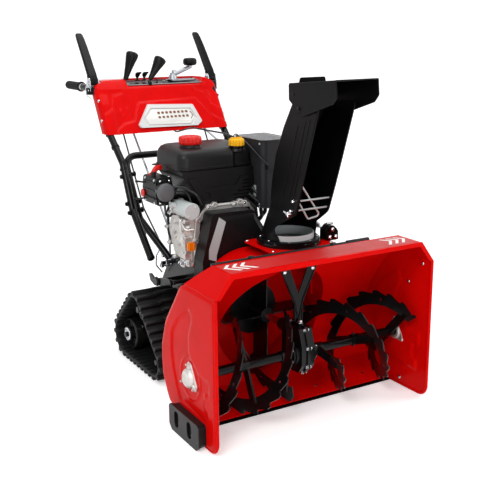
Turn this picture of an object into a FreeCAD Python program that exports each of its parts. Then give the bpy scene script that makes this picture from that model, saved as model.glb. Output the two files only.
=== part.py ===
"""Tracked walk-behind snow blower with a 76 cm clearing width, in millimetres.

Frame: X to the operator's left, Y backwards, Z up, floor at Z = 0, origin under the middle
of the machine.  Lengths along the machine are measured back from the front edge of the
auger housing, and seat() moves every finished piece so that the origin is in the middle.
"""
import FreeCAD, Part
import math
import os
import re
import Sketcher
from FreeCAD import Placement, Rotation, Vector

SIZES = {
    # overall
    "overall_length": 1490,
    "sheet_wall": 3,
    # auger housing
    "housing_half": 390,
    "housing_height": 535,
    "chamfer_top_half": 339,
    "chamfer_low": 470,
    "scoop_radius": 196,
    "lip_back": 112,
    "sill_front": 186,
    "sill_height": 10,
    "side_foot": 4,
    "toe_radius": 40,
    # auger
    "auger_back": 161,
    "auger_height": 189,
    "auger_radius": 150,
    "ribbon_width": 48,
    "ribbon_thick": 4,
    "ribbon_start": 44,
    "ribbon_span": 322,
    "ribbon_pitch": 345,
    "ribbon_phase_left": 84,
    "ribbon_phase_right": 168,
    "teeth_per_turn": 18,
    "tooth_depth": 14,
    "auger_shaft_radius": 15,
    "auger_shaft_half": 398,
    # impeller
    "drum_height": 252,
    "drum_radius": 200,
    "drum_back": 500,
    "mouth_radius": 197,
    "impeller_front": 362,
    "impeller_depth": 88,
    "impeller_shaft_radius": 12,
    # chute
    "chute_side": 110,
    "chute_back": 400,
    "neck_radius": 84,
    "neck_flange_height": 482,
    "collar_top": 520,
    "chute_half": 68,
    "chute_wall": 2.5,
    "chute_lean": 0.345,
    "chute_top": 962,
    # drive case, engine
    "chassis_half": 136,
    "chassis_front": 500,
    "chassis_back": 905,
    "chassis_low": 70,
    "chassis_top": 380,
    "tank_side": -48,
    "tank_half": 142,
    "tank_front": 600,
    "tank_back": 812,
    "tank_low": 716,
    "tank_top": 796,
    # tracks
    "track_inner": 158,
    "track_outer": 318,
    "belt_thick": 9,
    "lug_height": 13,
    "front_roller_back": 600,
    "front_roller_height": 63,
    "front_roller_radius": 42,
    "rear_roller_back": 867,
    "rear_roller_height": 81,
    "rear_roller_radius": 60,
    "sprocket_back": 748,
    "sprocket_height": 212,
    "sprocket_radius": 48,
    # handles and dash
    "tube_radius": 13,
    "grip_height": 962,
    "grip_radius": 16,
    "lever_pivot_back": 1206,
    "lever_pivot_height": 992,
    "dash_half": 262,
    # skids
    "skid_thick": 28,
    "skid_front": 82,
    "skid_length": 164,
    "skid_height": 83,
}

doc = FreeCAD.newDocument("SnowBlower")
sheet = doc.addObject("Spreadsheet::Sheet", "Sizes")
for row, (alias, number) in enumerate(SIZES.items(), start=1):
    sheet.set("A%d" % row, alias)
    sheet.set("B%d" % row, str(number))
    sheet.setAlias("B%d" % row, alias)
doc.recompute()

nodes = []


def size(alias):
    """The value of one cell of the sheet."""
    return float(sheet.get(alias))


def formula(text):
    """An expression on the sheet, from a text that uses the bare names of its cells."""
    return re.sub(r"[a-z][a-z_]+", lambda found: "Sizes." + found.group(0), text)


def bind(thing, **texts):
    """Tie properties to the sheet; two underscores in a name stand for a dot."""
    for name, text in texts.items():
        thing.setExpression(name.replace("__", "."), formula(str(text)))


TURNS = {
    "X": Rotation(Vector(0, 1, 0), 90),
    "Y": Rotation(Vector(1, 0, 0), -90),
    "Z": Rotation(),
}


def place(thing, corner, turn=Rotation()):
    """Place a primitive at a corner given as three texts on the sheet."""
    thing.Placement = Placement(Vector(), turn)
    for axis, text in zip("xyz", corner):
        thing.setExpression("Placement.Base." + axis, formula(str(text)))


def box(name, corner, sizes):
    part = doc.addObject("Part::Box", name)
    bind(part, Length=sizes[0], Width=sizes[1], Height=sizes[2])
    place(part, corner)
    return part


def cylinder(name, axis, start, radius, length):
    part = doc.addObject("Part::Cylinder", name)
    bind(part, Radius=radius, Height=length)
    place(part, start, TURNS[axis])
    return part


def cone(name, axis, start, radius, far_radius, length):
    part = doc.addObject("Part::Cone", name)
    bind(part, Radius1=radius, Radius2=far_radius, Height=length)
    place(part, start, TURNS[axis])
    return part


def fuse(name, *parts):
    joined = doc.addObject("Part::MultiFuse", name)
    joined.Shapes = list(parts)
    joined.Refine = True
    return joined


def cut(name, base, *tools):
    """Cut the tools from the base one after another."""
    left = base
    for number, tool in enumerate(tools, start=1):
        step = doc.addObject("Part::Cut", name if number == len(tools) else name + "_step")
        step.Base = left
        step.Tool = tool
        left = step
    left.Refine = True
    return left


def common(name, *parts):
    shared = doc.addObject("Part::MultiCommon", name)
    shared.Shapes = list(parts)
    return shared


def loose(name, shape):
    """A feature that holds a shape made by Part's own functions."""
    part = doc.addObject("Part::Feature", name)
    part.Shape = shape
    return part


def to_origin(part):
    """Move a piece from the front edge to the common origin."""
    own = dict(part.ExpressionEngine).get(".Placement.Base.y", "0")
    part.setExpression("Placement.Base.y", own + " - Sizes.overall_length / 2")
    return part


def seat(label, part):
    """Name a finished piece and move it to the common origin."""
    part.Label = label
    nodes.append(to_origin(part))
    return part


def mirror(label, part):
    """Name a piece that is the mirror image of one made for the operator's left."""
    twin = doc.addObject("Part::Mirroring", label + "_mirror")
    twin.Source = part
    twin.Normal = Vector(1, 0, 0)
    twin.Label = label
    nodes.append(twin)
    return twin


def seat_pair(label, part):
    """Seat a piece made for the operator's left and mirror it to the right."""
    seat(label + "_left", part)
    mirror(label + "_right", part)


def rounded(points):
    """Edges of a closed outline in a plane; a point's third number rounds its corner."""
    corners = []
    for number, (here, there, *radius) in enumerate(points):
        point = Vector(here, there, 0)
        before = Vector(*points[number - 1][:2], 0) - point
        after = Vector(*points[(number + 1) % len(points)][:2], 0) - point
        if not radius or not radius[0]:
            corners.append((point, point, None))
            continue
        half = before.getAngle(after) / 2
        reach = radius[0] / math.tan(half)
        start = point + before.normalize() * reach
        stop = point + after.normalize() * reach
        inward = (before + after).normalize()
        middle = point + inward * (radius[0] / math.sin(half) - radius[0])
        corners.append((start, stop, middle))
    edges = []
    for number, (start, stop, middle) in enumerate(corners):
        if middle is not None:
            edges.append(Part.Arc(start, middle, stop))
        following = corners[(number + 1) % len(corners)][0]
        if stop.distanceToPoint(following) > 1e-6:
            edges.append(Part.LineSegment(stop, following))
    return edges


def origin_plane(body, role):
    return next(item for item in body.Origin.OriginFeatures if item.Role == role)


def sketch_on(body, name, plane, offset, edges):
    sketch = body.newObject("Sketcher::SketchObject", name)
    sketch.AttachmentSupport = (origin_plane(body, plane + "_Plane"), [""])
    sketch.MapMode = "FlatFace"
    sketch.setExpression("AttachmentOffset.Base.z", formula(offset))
    sketch.addGeometry(edges)
    return sketch


def prism(name, plane, start, stop, *outlines):
    """A body padded from start to stop along the normal of XY, XZ or YZ.

    Each outline is a list of edges; inner outlines are holes.
    """
    body = doc.addObject("PartDesign::Body", name)
    offset = "-(%s)" % stop if plane == "XZ" else str(start)
    edges = [edge for outline in outlines for edge in outline]
    sketch = sketch_on(body, name + "_sketch", plane, offset, edges)
    pad = body.newObject("PartDesign::Pad", name + "_pad")
    pad.Profile = sketch
    bind(pad, Length="(%s) - (%s)" % (stop, start))
    return body


def wire_at(plane, along, edges):
    """A wire from an outline in XY, XZ or YZ, moved along the plane's normal."""
    wire = Part.Wire([edge.toShape() for edge in edges])
    if plane == "XZ":
        wire.rotate(Vector(), Vector(1, 0, 0), 90)
        wire.translate(Vector(0, along, 0))
    elif plane == "YZ":
        wire.rotate(Vector(), Vector(1, 1, 1), 120)
        wire.translate(Vector(along, 0, 0))
    else:
        wire.translate(Vector(0, 0, along))
    return wire


def circle(here, there, radius):
    return [Part.Circle(Vector(here, there, 0), Vector(0, 0, 1), radius)]


def bent_path(points, radius):
    """Straight runs joined by tangent arcs of one radius."""
    edges = []
    last = points[0]
    for before, corner, after in zip(points, points[1:], points[2:]):
        back = (before - corner).normalize()
        ahead = (after - corner).normalize()
        half = back.getAngle(ahead) / 2
        reach = radius / math.tan(half)
        start = corner + back * reach
        stop = corner + ahead * reach
        inward = (back + ahead).normalize()
        middle = corner + inward * (radius / math.sin(half) - radius)
        edges.append(Part.LineSegment(last, start).toShape())
        edges.append(Part.Arc(start, middle, stop).toShape())
        last = stop
    edges.append(Part.LineSegment(last, points[-1]).toShape())
    return Part.Wire(edges)


def swept(points, radius, bend):
    """A round bar along a bent path."""
    path = bent_path(points, bend)
    start = points[0]
    ring = Part.Wire(Part.makeCircle(radius, start, points[1] - start))
    return path.makePipeShell([ring], True, False)


# ---------------------------------------------------------------- auger housing

def housing_side_profile(inset, front, foot, toe=0):
    """Side profile of the auger housing in Y and Z, moved inwards by the wall.

    The toe is the radius of the round front corner at the floor.
    """
    top = size("housing_height") - inset
    centre_back = size("auger_back")
    centre_height = size("auger_height")
    radius = size("scoop_radius") - inset

    def on_scoop(degrees):
        angle = math.radians(degrees)
        return Vector(centre_back + radius * math.cos(angle),
                      centre_height + radius * math.sin(angle), 0)

    sill = Vector(size("sill_front"), size("sill_height") + inset, 0)
    lip = Vector(size("lip_back") - inset / 2, top, 0)
    shoulder = Vector(243 - 0.7 * inset, 410 - 0.7 * inset, 0)
    low, knee, high = on_scoop(-41), on_scoop(-14), on_scoop(12)
    toe_end = Vector(front + toe, foot, 0)
    toe_start = Vector(front, foot + toe, 0)
    round_toe = []
    if toe:
        slack = toe * (1 - math.sqrt(0.5))
        round_toe = [Part.Arc(toe_end, Vector(front + slack, foot + slack, 0), toe_start)]
    return round_toe + [
        Part.LineSegment(toe_start, Vector(front, top, 0)),
        Part.LineSegment(Vector(front, top, 0), lip),
        Part.Arc(lip, shoulder, high),
        Part.Arc(high, knee, low),
        Part.LineSegment(low, sill),
        Part.LineSegment(sill, Vector(sill.x, foot, 0)),
        Part.LineSegment(Vector(sill.x, foot, 0), toe_end),
    ]


def housing_front_profile(inset, foot):
    """Front profile of the auger housing in X and Z, with its chamfered top corners."""
    half = size("housing_half") - inset
    top = size("housing_height") - inset
    top_half = size("chamfer_top_half") - 0.4 * inset
    low = size("chamfer_low") - 0.4 * inset
    return rounded([(-half, foot), (-half, low), (-top_half, top),
                    (top_half, top), (half, low), (half, foot)])


def build_auger_housing():
    wall = size("sheet_wall")
    foot = size("side_foot")
    outside = common(
        "housing_outside",
        prism("housing_side", "YZ", "-housing_half", "housing_half",
              housing_side_profile(0, 0, foot, size("toe_radius"))),
        prism("housing_face", "XZ", "0", "drum_back", housing_front_profile(0, foot)))
    inside = common(
        "housing_inside",
        prism("hollow_side", "YZ", "-housing_half", "housing_half",
              housing_side_profile(wall, -20, foot - 20)),
        prism("hollow_face", "XZ", "-20", "drum_back", housing_front_profile(wall, foot - 20)))
    mouth = cylinder("drum_mouth", "Y", ("0", "auger_back", "drum_height"),
                     "mouth_radius", "drum_back - auger_back")
    bore = cylinder("shaft_bore", "X", ("-housing_half - 5", "auger_back", "auger_height"),
                    "auger_shaft_radius + 5", "2 * housing_half + 10")
    seat("auger_housing", cut("auger_housing", outside, inside, mouth, bore))


def build_drum():
    """Impeller drum with its round wall, back plate, neck and neck flange, one weldment."""
    wall = "sheet_wall"
    barrel = cylinder("drum_barrel", "Y", ("0", "200", "drum_height"),
                      "drum_radius", "drum_back - 200")
    rim = cylinder("drum_rim", "Y", ("0", "drum_back - 4", "drum_height"),
                   "drum_radius + 5", "4")
    neck = cylinder("neck_outside", "Z", ("chute_side", "chute_back", "drum_height + 100"),
                    "neck_radius", "neck_flange_height - drum_height - 100")
    side, back = size("chute_side"), size("chute_back")
    flange = prism("neck_flange", "XY", "neck_flange_height - 3", "neck_flange_height", rounded([
        (side - 128, back - 100, 30), (side + 128, back - 100, 30),
        (side + 128, back + 98, 30), (side - 128, back + 98, 30)]))
    hollow = cylinder("drum_hollow", "Y", ("0", "190", "drum_height"),
                      "drum_radius - %s" % wall, "drum_back - 193")
    throat = cylinder("neck_hollow", "Z", ("chute_side", "chute_back", "drum_height + 60"),
                      "neck_radius - %s" % wall, "neck_flange_height - drum_height")
    bore = cylinder("drum_bore", "Y", ("0", "drum_back - 20", "drum_height"),
                    "impeller_shaft_radius + 3", "40")
    scoop = prism("scoop_clearance", "YZ", "-housing_half", "housing_half",
                  housing_side_profile(0, -20, 0))
    drum = cut("impeller_housing", fuse("drum_body", barrel, rim, neck, flange),
               hollow, throat, bore, scoop)
    seat("impeller_housing", drum)


def build_scraper():
    """Scraper strip bolted under the sill of the housing."""
    half = "housing_half - 4"
    outline = [(178, 2), (192, 2), (262, 32), (262, 38), (258, 38.5)]
    seat("scraper_blade", prism("scraper_blade", "YZ", "-(%s)" % half, half,
                                rounded(outline)))


def build_skids():
    """Skid shoe: a thick slab with bevelled lower edge and two slots."""
    front = size("skid_front")
    back = front + size("skid_length")
    top = size("skid_height")
    slots = []
    for centre in (front + 47, back - 47):
        slots.append(rounded([(centre - 8, 24, 7.9), (centre - 8, 62, 7.9),
                              (centre + 8, 62, 7.9), (centre + 8, 24, 7.9)]))
    slab = prism("skid_slab", "YZ", "housing_half", "housing_half + skid_thick",
                 rounded([(front, 14, 6), (front, top, 8), (back, top, 8), (back, 14, 6),
                          (back - 16, 0, 4), (front + 16, 0, 4)]), *slots)
    bevel = prism("skid_bevel", "XZ", "skid_front - 5", "skid_front + skid_length + 5",
                  rounded([(409, -1), (419, -1), (419, 12)]))
    seat_pair("skid_shoe", cut("skid_shoe", slab, bevel))


def build_bearings():
    """Three-lobed flange bearing with a raised cup on each side plate."""
    back, height = size("auger_back"), size("auger_height")
    lobes = []
    for turn in (90, 210, 330):
        angle = math.radians(turn)
        lobes.append((back + 56 * math.cos(angle), height + 56 * math.sin(angle), 11))
    flange = prism("bearing_flange", "YZ", "housing_half", "housing_half + 4", rounded(lobes))
    cup = cone("bearing_cup", "X", ("housing_half + 4", "auger_back", "auger_height"),
               "27", "22", "10")
    bore = cylinder("bearing_bore", "X", ("housing_half - 1", "auger_back", "auger_height"),
                    "auger_shaft_radius + 0.3", "11")
    seat_pair("auger_bearing", cut("auger_bearing", fuse("bearing_solid", flange, cup), bore))


# ---------------------------------------------------------------- auger and impeller

def helix(radius, pitch, turns, start_angle, start):
    """A helix about the X axis through the auger centre."""
    wire = Part.makeHelix(pitch, pitch * turns, radius)
    wire.rotate(Vector(), Vector(0, 0, 1), start_angle)
    wire.rotate(Vector(), Vector(0, 1, 0), 90)
    wire.translate(Vector(start, size("auger_back"), size("auger_height")))
    return wire


def toothed_ring(side):
    """Ring with saw teeth round its edge, long enough to trim a whole ribbon."""
    outer = size("auger_radius")
    root = outer - size("tooth_depth")
    inner = outer - size("ribbon_width")
    back, height = size("auger_back"), size("auger_height")
    teeth = int(size("teeth_per_turn"))
    points = []
    for tooth in range(teeth):
        for share, radius in ((0.0, root), (0.08, outer), (0.3, outer), (0.95, root + 3)):
            angle = 2 * math.pi * (tooth + share) / teeth
            points.append((back + radius * math.cos(angle), height + radius * math.sin(angle)))
    return prism("toothed_ring_" + side, "YZ", "ribbon_start - 20",
                 "ribbon_start + ribbon_span + 20", rounded(points),
                 circle(back, height, inner))


def build_flight(side):
    """Two serrated ribbons half a turn apart on one side, held by flat arms."""
    start, span = size("ribbon_start"), size("ribbon_span")
    pitch, thick = size("ribbon_pitch"), size("ribbon_thick")
    turns = (span - thick) / pitch
    outer = size("auger_radius") + 8
    inner = size("auger_radius") - size("ribbon_width") - 8
    phase = size("ribbon_phase_" + side)
    ring = toothed_ring(side)
    axis = Vector(0, size("auger_back"), size("auger_height"))
    pieces = []
    holes = []
    for number, first_angle in enumerate((phase, phase + 180)):
        low = helix(inner, pitch, turns, first_angle, start)
        high = helix(outer, pitch, turns, first_angle, start)
        surface = Part.makeRuledSurface(low.Edges[0], high.Edges[0])
        band = loose("ribbon_%s_%d" % (side, number), surface.extrude(Vector(thick, 0, 0)))
        pieces.append(common("toothed_ribbon_%s_%d" % (side, number), band, ring))
        for share in (0.04, 0.5, 0.96):
            along = start + share * turns * pitch
            reach = size("auger_radius") - size("ribbon_width") + 16
            arm = Part.makeBox(7, 30, reach, Vector(along - 1.5, -15, 0))
            arm.translate(Vector(0, axis.y, axis.z))
            # a helix turned onto X starts at -Z and runs towards +Y
            angle = 180 + first_angle + 360 * share * turns
            arm.rotate(axis, Vector(1, 0, 0), angle)
            pieces.append(loose("flight_arm_%s_%d_%d" % (side, number, int(100 * share)), arm))
        for share in (0.16, 0.34, 0.66, 0.84):
            along = start + share * turns * pitch
            hole = Part.makeCylinder(4, 40, Vector(along - 18, axis.y, axis.z + 122),
                                     Vector(1, 0, 0))
            hole.rotate(axis, Vector(1, 0, 0), 180 + first_angle + 360 * share * turns)
            holes.append(loose("flight_hole_%s_%d_%d" % (side, number, int(100 * share)), hole))
    bore = cylinder("flight_bore_" + side, "X", ("0", "auger_back", "auger_height"),
                    "auger_shaft_radius", "auger_shaft_half")
    return cut("flights_" + side, fuse("flight_solid_" + side, *pieces), bore, *holes)


def build_flights():
    """Flights on both sides of the gear case, a quarter turn out of step."""
    seat("auger_flight_left", build_flight("left"))
    mirror("auger_flight_right", to_origin(build_flight("right")))


def build_auger_shaft():
    shaft = cylinder("auger_shaft", "X", ("-auger_shaft_half", "auger_back", "auger_height"),
                     "auger_shaft_radius", "2 * auger_shaft_half")
    seat("auger_shaft", shaft)


def build_gearbox():
    """Worm gear case round the auger shaft, with a snout for the impeller shaft."""
    back, height = size("auger_back"), size("auger_height")
    worm = size("drum_height")
    case = prism("gear_case", "YZ", "-24", "24", rounded([
        (back - 42, height - 30, 18), (back - 42, height + 28, 14), (back - 22, worm + 24, 10),
        (back + 60, worm + 24, 10), (back + 60, worm - 24, 8), (back + 44, height - 34, 18),
        (back + 18, height - 62, 22), (back - 22, height - 58, 18)]))
    flange = prism("gear_flange", "YZ", "-5", "5", rounded([
        (back - 47, height - 33, 20), (back - 47, height + 31, 16), (back - 26, worm + 28, 12),
        (back + 58, worm + 28, 10), (back + 58, worm - 28, 8), (back + 49, height - 37, 18),
        (back + 20, height - 67, 24), (back - 25, height - 63, 20)]))
    boss = cylinder("gear_boss", "X", ("-38", "auger_back", "auger_height"), "33", "76")
    snout = cone("gear_snout", "Y", ("0", "auger_back + 58", "drum_height"), "26", "20", "52")
    shaft_bore = cylinder("gear_shaft_bore", "X", ("-40", "auger_back", "auger_height"),
                          "auger_shaft_radius + 0.3", "80")
    worm_bore = cylinder("worm_bore", "Y", ("0", "auger_back + 20", "drum_height"),
                         "impeller_shaft_radius + 0.3", "100")
    seat("auger_gearbox", cut("auger_gearbox", fuse("gear_solid", case, flange, boss, snout),
                              shaft_bore, worm_bore))


def build_brace():
    """Y-shaped strap from the curved back wall down to the top of the gear case."""
    front, back = "auger_back + 15", "auger_back + 19"
    foot = size("drum_height") + 28
    legs = []
    for side in (-1, 1):
        leg = [(side * 2 - 15, foot + 66), (side * 2 + 15, foot + 66),
               (side * 58 + 16, 482), (side * 58 - 16, 482)]
        legs.append(prism("brace_leg_%d" % (side + 1), "XZ", front, back, rounded(leg)))
    stem = prism("brace_stem", "XZ", front, back, rounded(
        [(-15, foot), (15, foot), (17, foot + 74), (-17, foot + 74)]))
    inside = prism("brace_limit", "YZ", "-auger_shaft_half", "auger_shaft_half",
                   housing_side_profile(size("sheet_wall"), 0, 0))
    seat("gearbox_brace", common("gearbox_brace", fuse("brace_solid", stem, *legs), inside))


def build_impeller():
    """Four swept blades with folded tips on a hub."""
    height = size("drum_height")
    blades = []
    for number in range(4):
        blade = prism("impeller_blade_%d" % number, "XZ", "impeller_front",
                      "impeller_front + impeller_depth", rounded(
                          [(-4, height + 10), (0, height + 10), (2, height + 162, 8),
                           (30, height + 182, 2), (28, height + 185.5, 2),
                           (-2, height + 165, 8)]))
        turned = loose("impeller_turned_%d" % number, Part.Shape())
        blades.append((blade, turned, 90 * number))
    doc.recompute()
    turned_blades = []
    for blade, turned, angle in blades:
        shape = blade.Shape.copy()
        shape.rotate(Vector(0, 0, height), Vector(0, 1, 0), angle)
        turned.Shape = shape
        turned_blades.append(turned)
    hub = cylinder("impeller_hub", "Y", ("0", "impeller_front", "drum_height"), "24",
                   "impeller_depth + 12")
    back_plate = cylinder("impeller_disc", "Y",
                          ("0", "impeller_front + impeller_depth", "drum_height"), "90", "4")
    bore = cylinder("impeller_bore", "Y", ("0", "impeller_front - 5", "drum_height"),
                    "impeller_shaft_radius", "impeller_depth + 30")
    seat("impeller", cut("impeller", fuse("impeller_solid", hub, back_plate, *turned_blades),
                         bore))
    shaft = cylinder("impeller_shaft", "Y", ("0", "auger_back + 62", "drum_height"),
                     "impeller_shaft_radius", "drum_back - auger_back - 42")
    seat("impeller_shaft", shaft)


# ---------------------------------------------------------------- chute

def build_neck_ring():
    """Clamp ring and steel collar on which the chute turns, with the worm bracket."""
    ring = cut("clamp_ring",
               cylinder("clamp_outside", "Z", ("chute_side", "chute_back", "neck_flange_height"),
                        "neck_radius + 24", "12"),
               cylinder("clamp_hole", "Z",
                        ("chute_side", "chute_back", "neck_flange_height - 1"),
                        "neck_radius + 0.9", "20"))
    seat("chute_clamp_ring", ring)
    collar = cut("chute_collar",
                 cylinder("collar_outside", "Z",
                          ("chute_side", "chute_back", "neck_flange_height"),
                          "neck_radius + 0.9", "collar_top - neck_flange_height"),
                 cylinder("collar_hole", "Z",
                          ("chute_side", "chute_back", "neck_flange_height - 1"),
                          "neck_radius - 3", "80"))
    seat("chute_collar", collar)
    bracket = prism("drive_bracket", "XZ", "chute_back - 62", "chute_back - 20", rounded(
        [(224, 482, 3), (224, 516, 8), (244, 536, 10), (266, 520, 10), (266, 482, 3)]))
    seat("chute_drive", cut("chute_drive", bracket, loose("drive_rod_room", chute_rod(4.3))))


def chute_drop(height):
    """How far the leaning chute has moved forwards at a height, upright up to its collar."""
    return size("chute_lean") * max(0, height - size("collar_top"))


def chute_section(height, half, depth_front, depth_back, radii, inset):
    """Closed rounded rectangle at one height of the chute, as a wire.

    The two radii round its front corners and its back corners.
    """
    side, back = size("chute_side"), size("chute_back")
    middle = back - chute_drop(height)
    half = half - inset
    ahead, behind = [radius - inset for radius in radii]
    outline = rounded([
        (side - half, middle - depth_front + inset, ahead),
        (side + half, middle - depth_front + inset, ahead),
        (side + half, middle + depth_back - inset, behind),
        (side - half, middle + depth_back - inset, behind)])
    wire = Part.Wire([edge.toShape() for edge in outline])
    wire.translate(Vector(0, 0, height))
    return wire


RIM_AHEAD = 110


def chute_rim(height):
    """Front edge of the chute's side walls at a height."""
    return size("chute_back") - RIM_AHEAD - chute_drop(height)


def chute_ribs():
    """Three beads pressed into each side wall, running with its lean."""
    side, half = size("chute_side"), size("chute_half")
    beads = []
    for direction in (-1, 1):
        for number, (behind_rim, low, high) in enumerate(((30, 655, 915), (52, 655, 905),
                                                          (88, 655, 890))):
            start = Vector(side + direction * (half - 0.8), chute_rim(low) + behind_rim, low)
            stop = Vector(start.x, chute_rim(high) + behind_rim, high)
            beads.append(loose("chute_rib_%d_%d" % (direction + 1, number),
                               Part.makeCylinder(3, start.distanceToPoint(stop), start,
                                                 stop - start)))
    return beads


def build_chute():
    """Bowed trough that leans forwards, open along its front, on a round flange that turns."""
    wall = size("chute_wall")
    foot = size("neck_flange_height") + 12.3
    top = size("chute_top")
    half, neck = size("chute_half"), size("neck_radius") + 6
    start = foot + 8
    round_foot = (neck, neck, neck, (neck - 2, neck - 2))

    def trough(inset, below, above):
        return Part.makeLoft([
            chute_section(start - below, *round_foot, inset),
            chute_section(size("collar_top"), *round_foot, inset),
            chute_section(start + 108, half, 116, 56, (20, 20), inset),
            chute_section(700, half, 116, 70, (14, 14), inset),
            chute_section(790, half, 116, 76, (12, 12), inset),
            chute_section(880, half, 116, 62, (12, 12), inset),
            chute_section(top + above, half, 116, 38, (12, 12), inset)], True, True)

    def hollow():
        """Room inside the trough, which takes the inner half of each bead."""
        return loose("chute_inside", trough(wall, 0.5, 0.5))

    opening = prism("chute_opening", "YZ", "chute_side - 120", "chute_side + 120", rounded([
        (0, start - 1), (345, start - 1), (362, 548, 16), (chute_rim(608), 608, 34),
        (chute_rim(top + 20), top + 20), (0, top + 20)]))
    flange = cut("chute_flange",
                 cylinder("flange_outside", "Z", ("chute_side", "chute_back", foot),
                          "neck_radius + 18", start - foot),
                 cylinder("flange_hole", "Z", ("chute_side", "chute_back", foot - 1),
                          "neck_radius + 1.2", "10"))
    walls = fuse("chute_walls", loose("chute_outside", trough(0, 0, 0)), *chute_ribs())
    open_trough = cut("open_trough", walls, hollow(), opening, *guard_bars("bar_hole"),
                      hood_pin("hood_pin_hole", 5.3))
    seat("chute", fuse("chute", open_trough, flange))


def guard_bars(name):
    """The two steel bars across the low front of the chute."""
    return [cylinder("%s_%d" % (name, number), "X",
                     ("chute_side - chute_half - 8", back, height), "3",
                     "2 * chute_half + 16")
            for number, (back, height) in enumerate(((278, 617), (266, 650)))]


def build_wire_guard():
    """Two bars and a bent wire welded across them."""
    side = size("chute_side")
    bow = swept([Vector(side - 52, 252, 704), Vector(side + 50, 292, 588),
                 Vector(side + 4, 294, 580), Vector(side - 52, 270, 650)], 3, 9)
    seat("chute_guard", fuse("chute_guard", loose("guard_bow", bow), *guard_bars("guard_bar")))


HOOD_PIVOT = (232, 944)


def hood_pin(name, radius):
    return cylinder(name, "X", ("chute_side - chute_half - 9", HOOD_PIVOT[0], HOOD_PIVOT[1]),
                    radius, "2 * chute_half + 18")


def build_deflector():
    """Hood at the top of the chute: a back sheet, a roof and two side plates on pivot pins."""
    side, half = size("chute_side"), size("chute_half")
    plates = []
    for number, start in enumerate((side - half - 9, side + half + 6)):
        plates.append(prism("hood_side_%d" % number, "YZ", start, start + 3, rounded([
            (286, 968, 6), (288, 1018, 6), (48, 1038, 4), (42, 990, 8), (62, 968, 10),
            (216, 920, 12)])))
    roof = prism("hood_roof", "YZ", "chute_side - chute_half - 9", "chute_side + chute_half + 9",
                 rounded([(287, 968), (289, 1018, 8), (48, 1038), (48, 1035), (286, 1015, 6),
                          (284, 968)]))
    tab = prism("hood_tab", "XZ", "264", "268", rounded([
        (side - 54, 1017), (side - 50, 1035, 6), (side + 42, 1035, 6), (side + 46, 1017)]))
    inner_gap = cylinder("hood_pin_gap", "X",
                         ("chute_side - chute_half + 6", HOOD_PIVOT[0], HOOD_PIVOT[1]), "8",
                         "2 * chute_half - 12")
    pins = cut("hood_pins", hood_pin("hood_pin", 5), inner_gap)
    seat("deflector", fuse("deflector", roof, tab, pins, *plates))


# ---------------------------------------------------------------- engine and drive case

def chassis_profile(inset):
    front, back = size("chassis_front") + inset, size("chassis_back") - inset
    low, top = size("chassis_low") + inset, size("chassis_top") - inset
    return rounded([(front, low, 8), (front, top), (back - 96, top, 6), (back, top - 130, 10),
                    (back, low, 8)])


def build_chassis():
    """Sheet-steel drive case between the tracks."""
    shell = prism("chassis_outside", "YZ", "-chassis_half", "chassis_half", chassis_profile(0))
    hollow = prism("chassis_hollow", "YZ", "-chassis_half + 3", "chassis_half - 3",
                   chassis_profile(3))
    bore = cylinder("chassis_shaft_bore", "Y", ("0", "chassis_front - 5", "drum_height"),
                    "impeller_shaft_radius + 3", "20")
    seat("chassis", cut("chassis", shell, hollow, bore))


def build_belt_cover():
    outer = prism("belt_cover_base", "XZ", "drum_back + 16", "drum_back + 80", rounded([
        (-158, 300, 8), (-158, 418, 14), (-116, 582, 14), (40, 580, 14), (92, 500, 14),
        (120, 430, 14), (120, 300, 8)]))
    rim = wire_at("XZ", size("drum_back") + 16, rounded([
        (-136, 410, 4), (-133, 462, 6), (-92, 570, 8), (46, 570, 10), (98, 484, 10),
        (106, 410, 4)]))
    front = wire_at("XZ", size("drum_back") + 8, rounded([
        (-112, 418, 4), (-110, 440, 6), (-72, 553, 8), (38, 553, 10), (84, 474, 10),
        (90, 418, 4)]))
    raised = loose("belt_cover_face", Part.makeLoft([rim, front], True, True))
    drum = cylinder("drum_keepout", "Y", ("0", "drum_back - 20", "drum_height"),
                    "drum_radius + 9", "37")
    chassis_room = box("chassis_keepout", ("-chassis_half", "chassis_front", "chassis_low"),
                       ("2 * chassis_half", "200", "chassis_top - chassis_low"))
    seat("belt_cover", cut("belt_cover", fuse("belt_cover_solid", outer, raised), drum,
                           chassis_room))


def build_crankcase():
    """Die-cast crankcase with its front flange, bolt lugs, cylinder head and cooling fins."""
    case = prism("crankcase", "XZ", "588", "790", rounded([
        (-130, 380), (-150, 470, 16), (-136, 548, 8), (-136, 600), (90, 600), (110, 380)]))
    flange = prism("crankcase_flange", "XZ", "580", "588", rounded([
        (-134, 384, 6), (-155, 470, 16), (-148, 545, 10), (-108, 594, 8), (72, 592, 8),
        (100, 540, 8), (112, 384, 6)]))
    lugs = [cylinder("crankcase_lug_%d" % number, "Y", (side, "572", "592"), "9", "20")
            for number, side in enumerate(("-98", "-60", "4", "42"))]
    head = cylinder("cylinder_head", "X", ("-172", "680", "512"), "50", "40")
    fins = [box("cooling_fin_%d" % number, ("-182", "622", str(462 + 14 * number)),
                ("48", "116", "5")) for number in range(7)]
    neck = cylinder("dipstick_boss", "Y", ("-168", "592", "468"), "11", "46")
    sump = box("sump", ("-150", "600", "381"), ("24", "150", "52"))
    seat("engine_block", fuse("engine_block", case, flange, head, neck, sump, *lugs, *fins))


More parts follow.
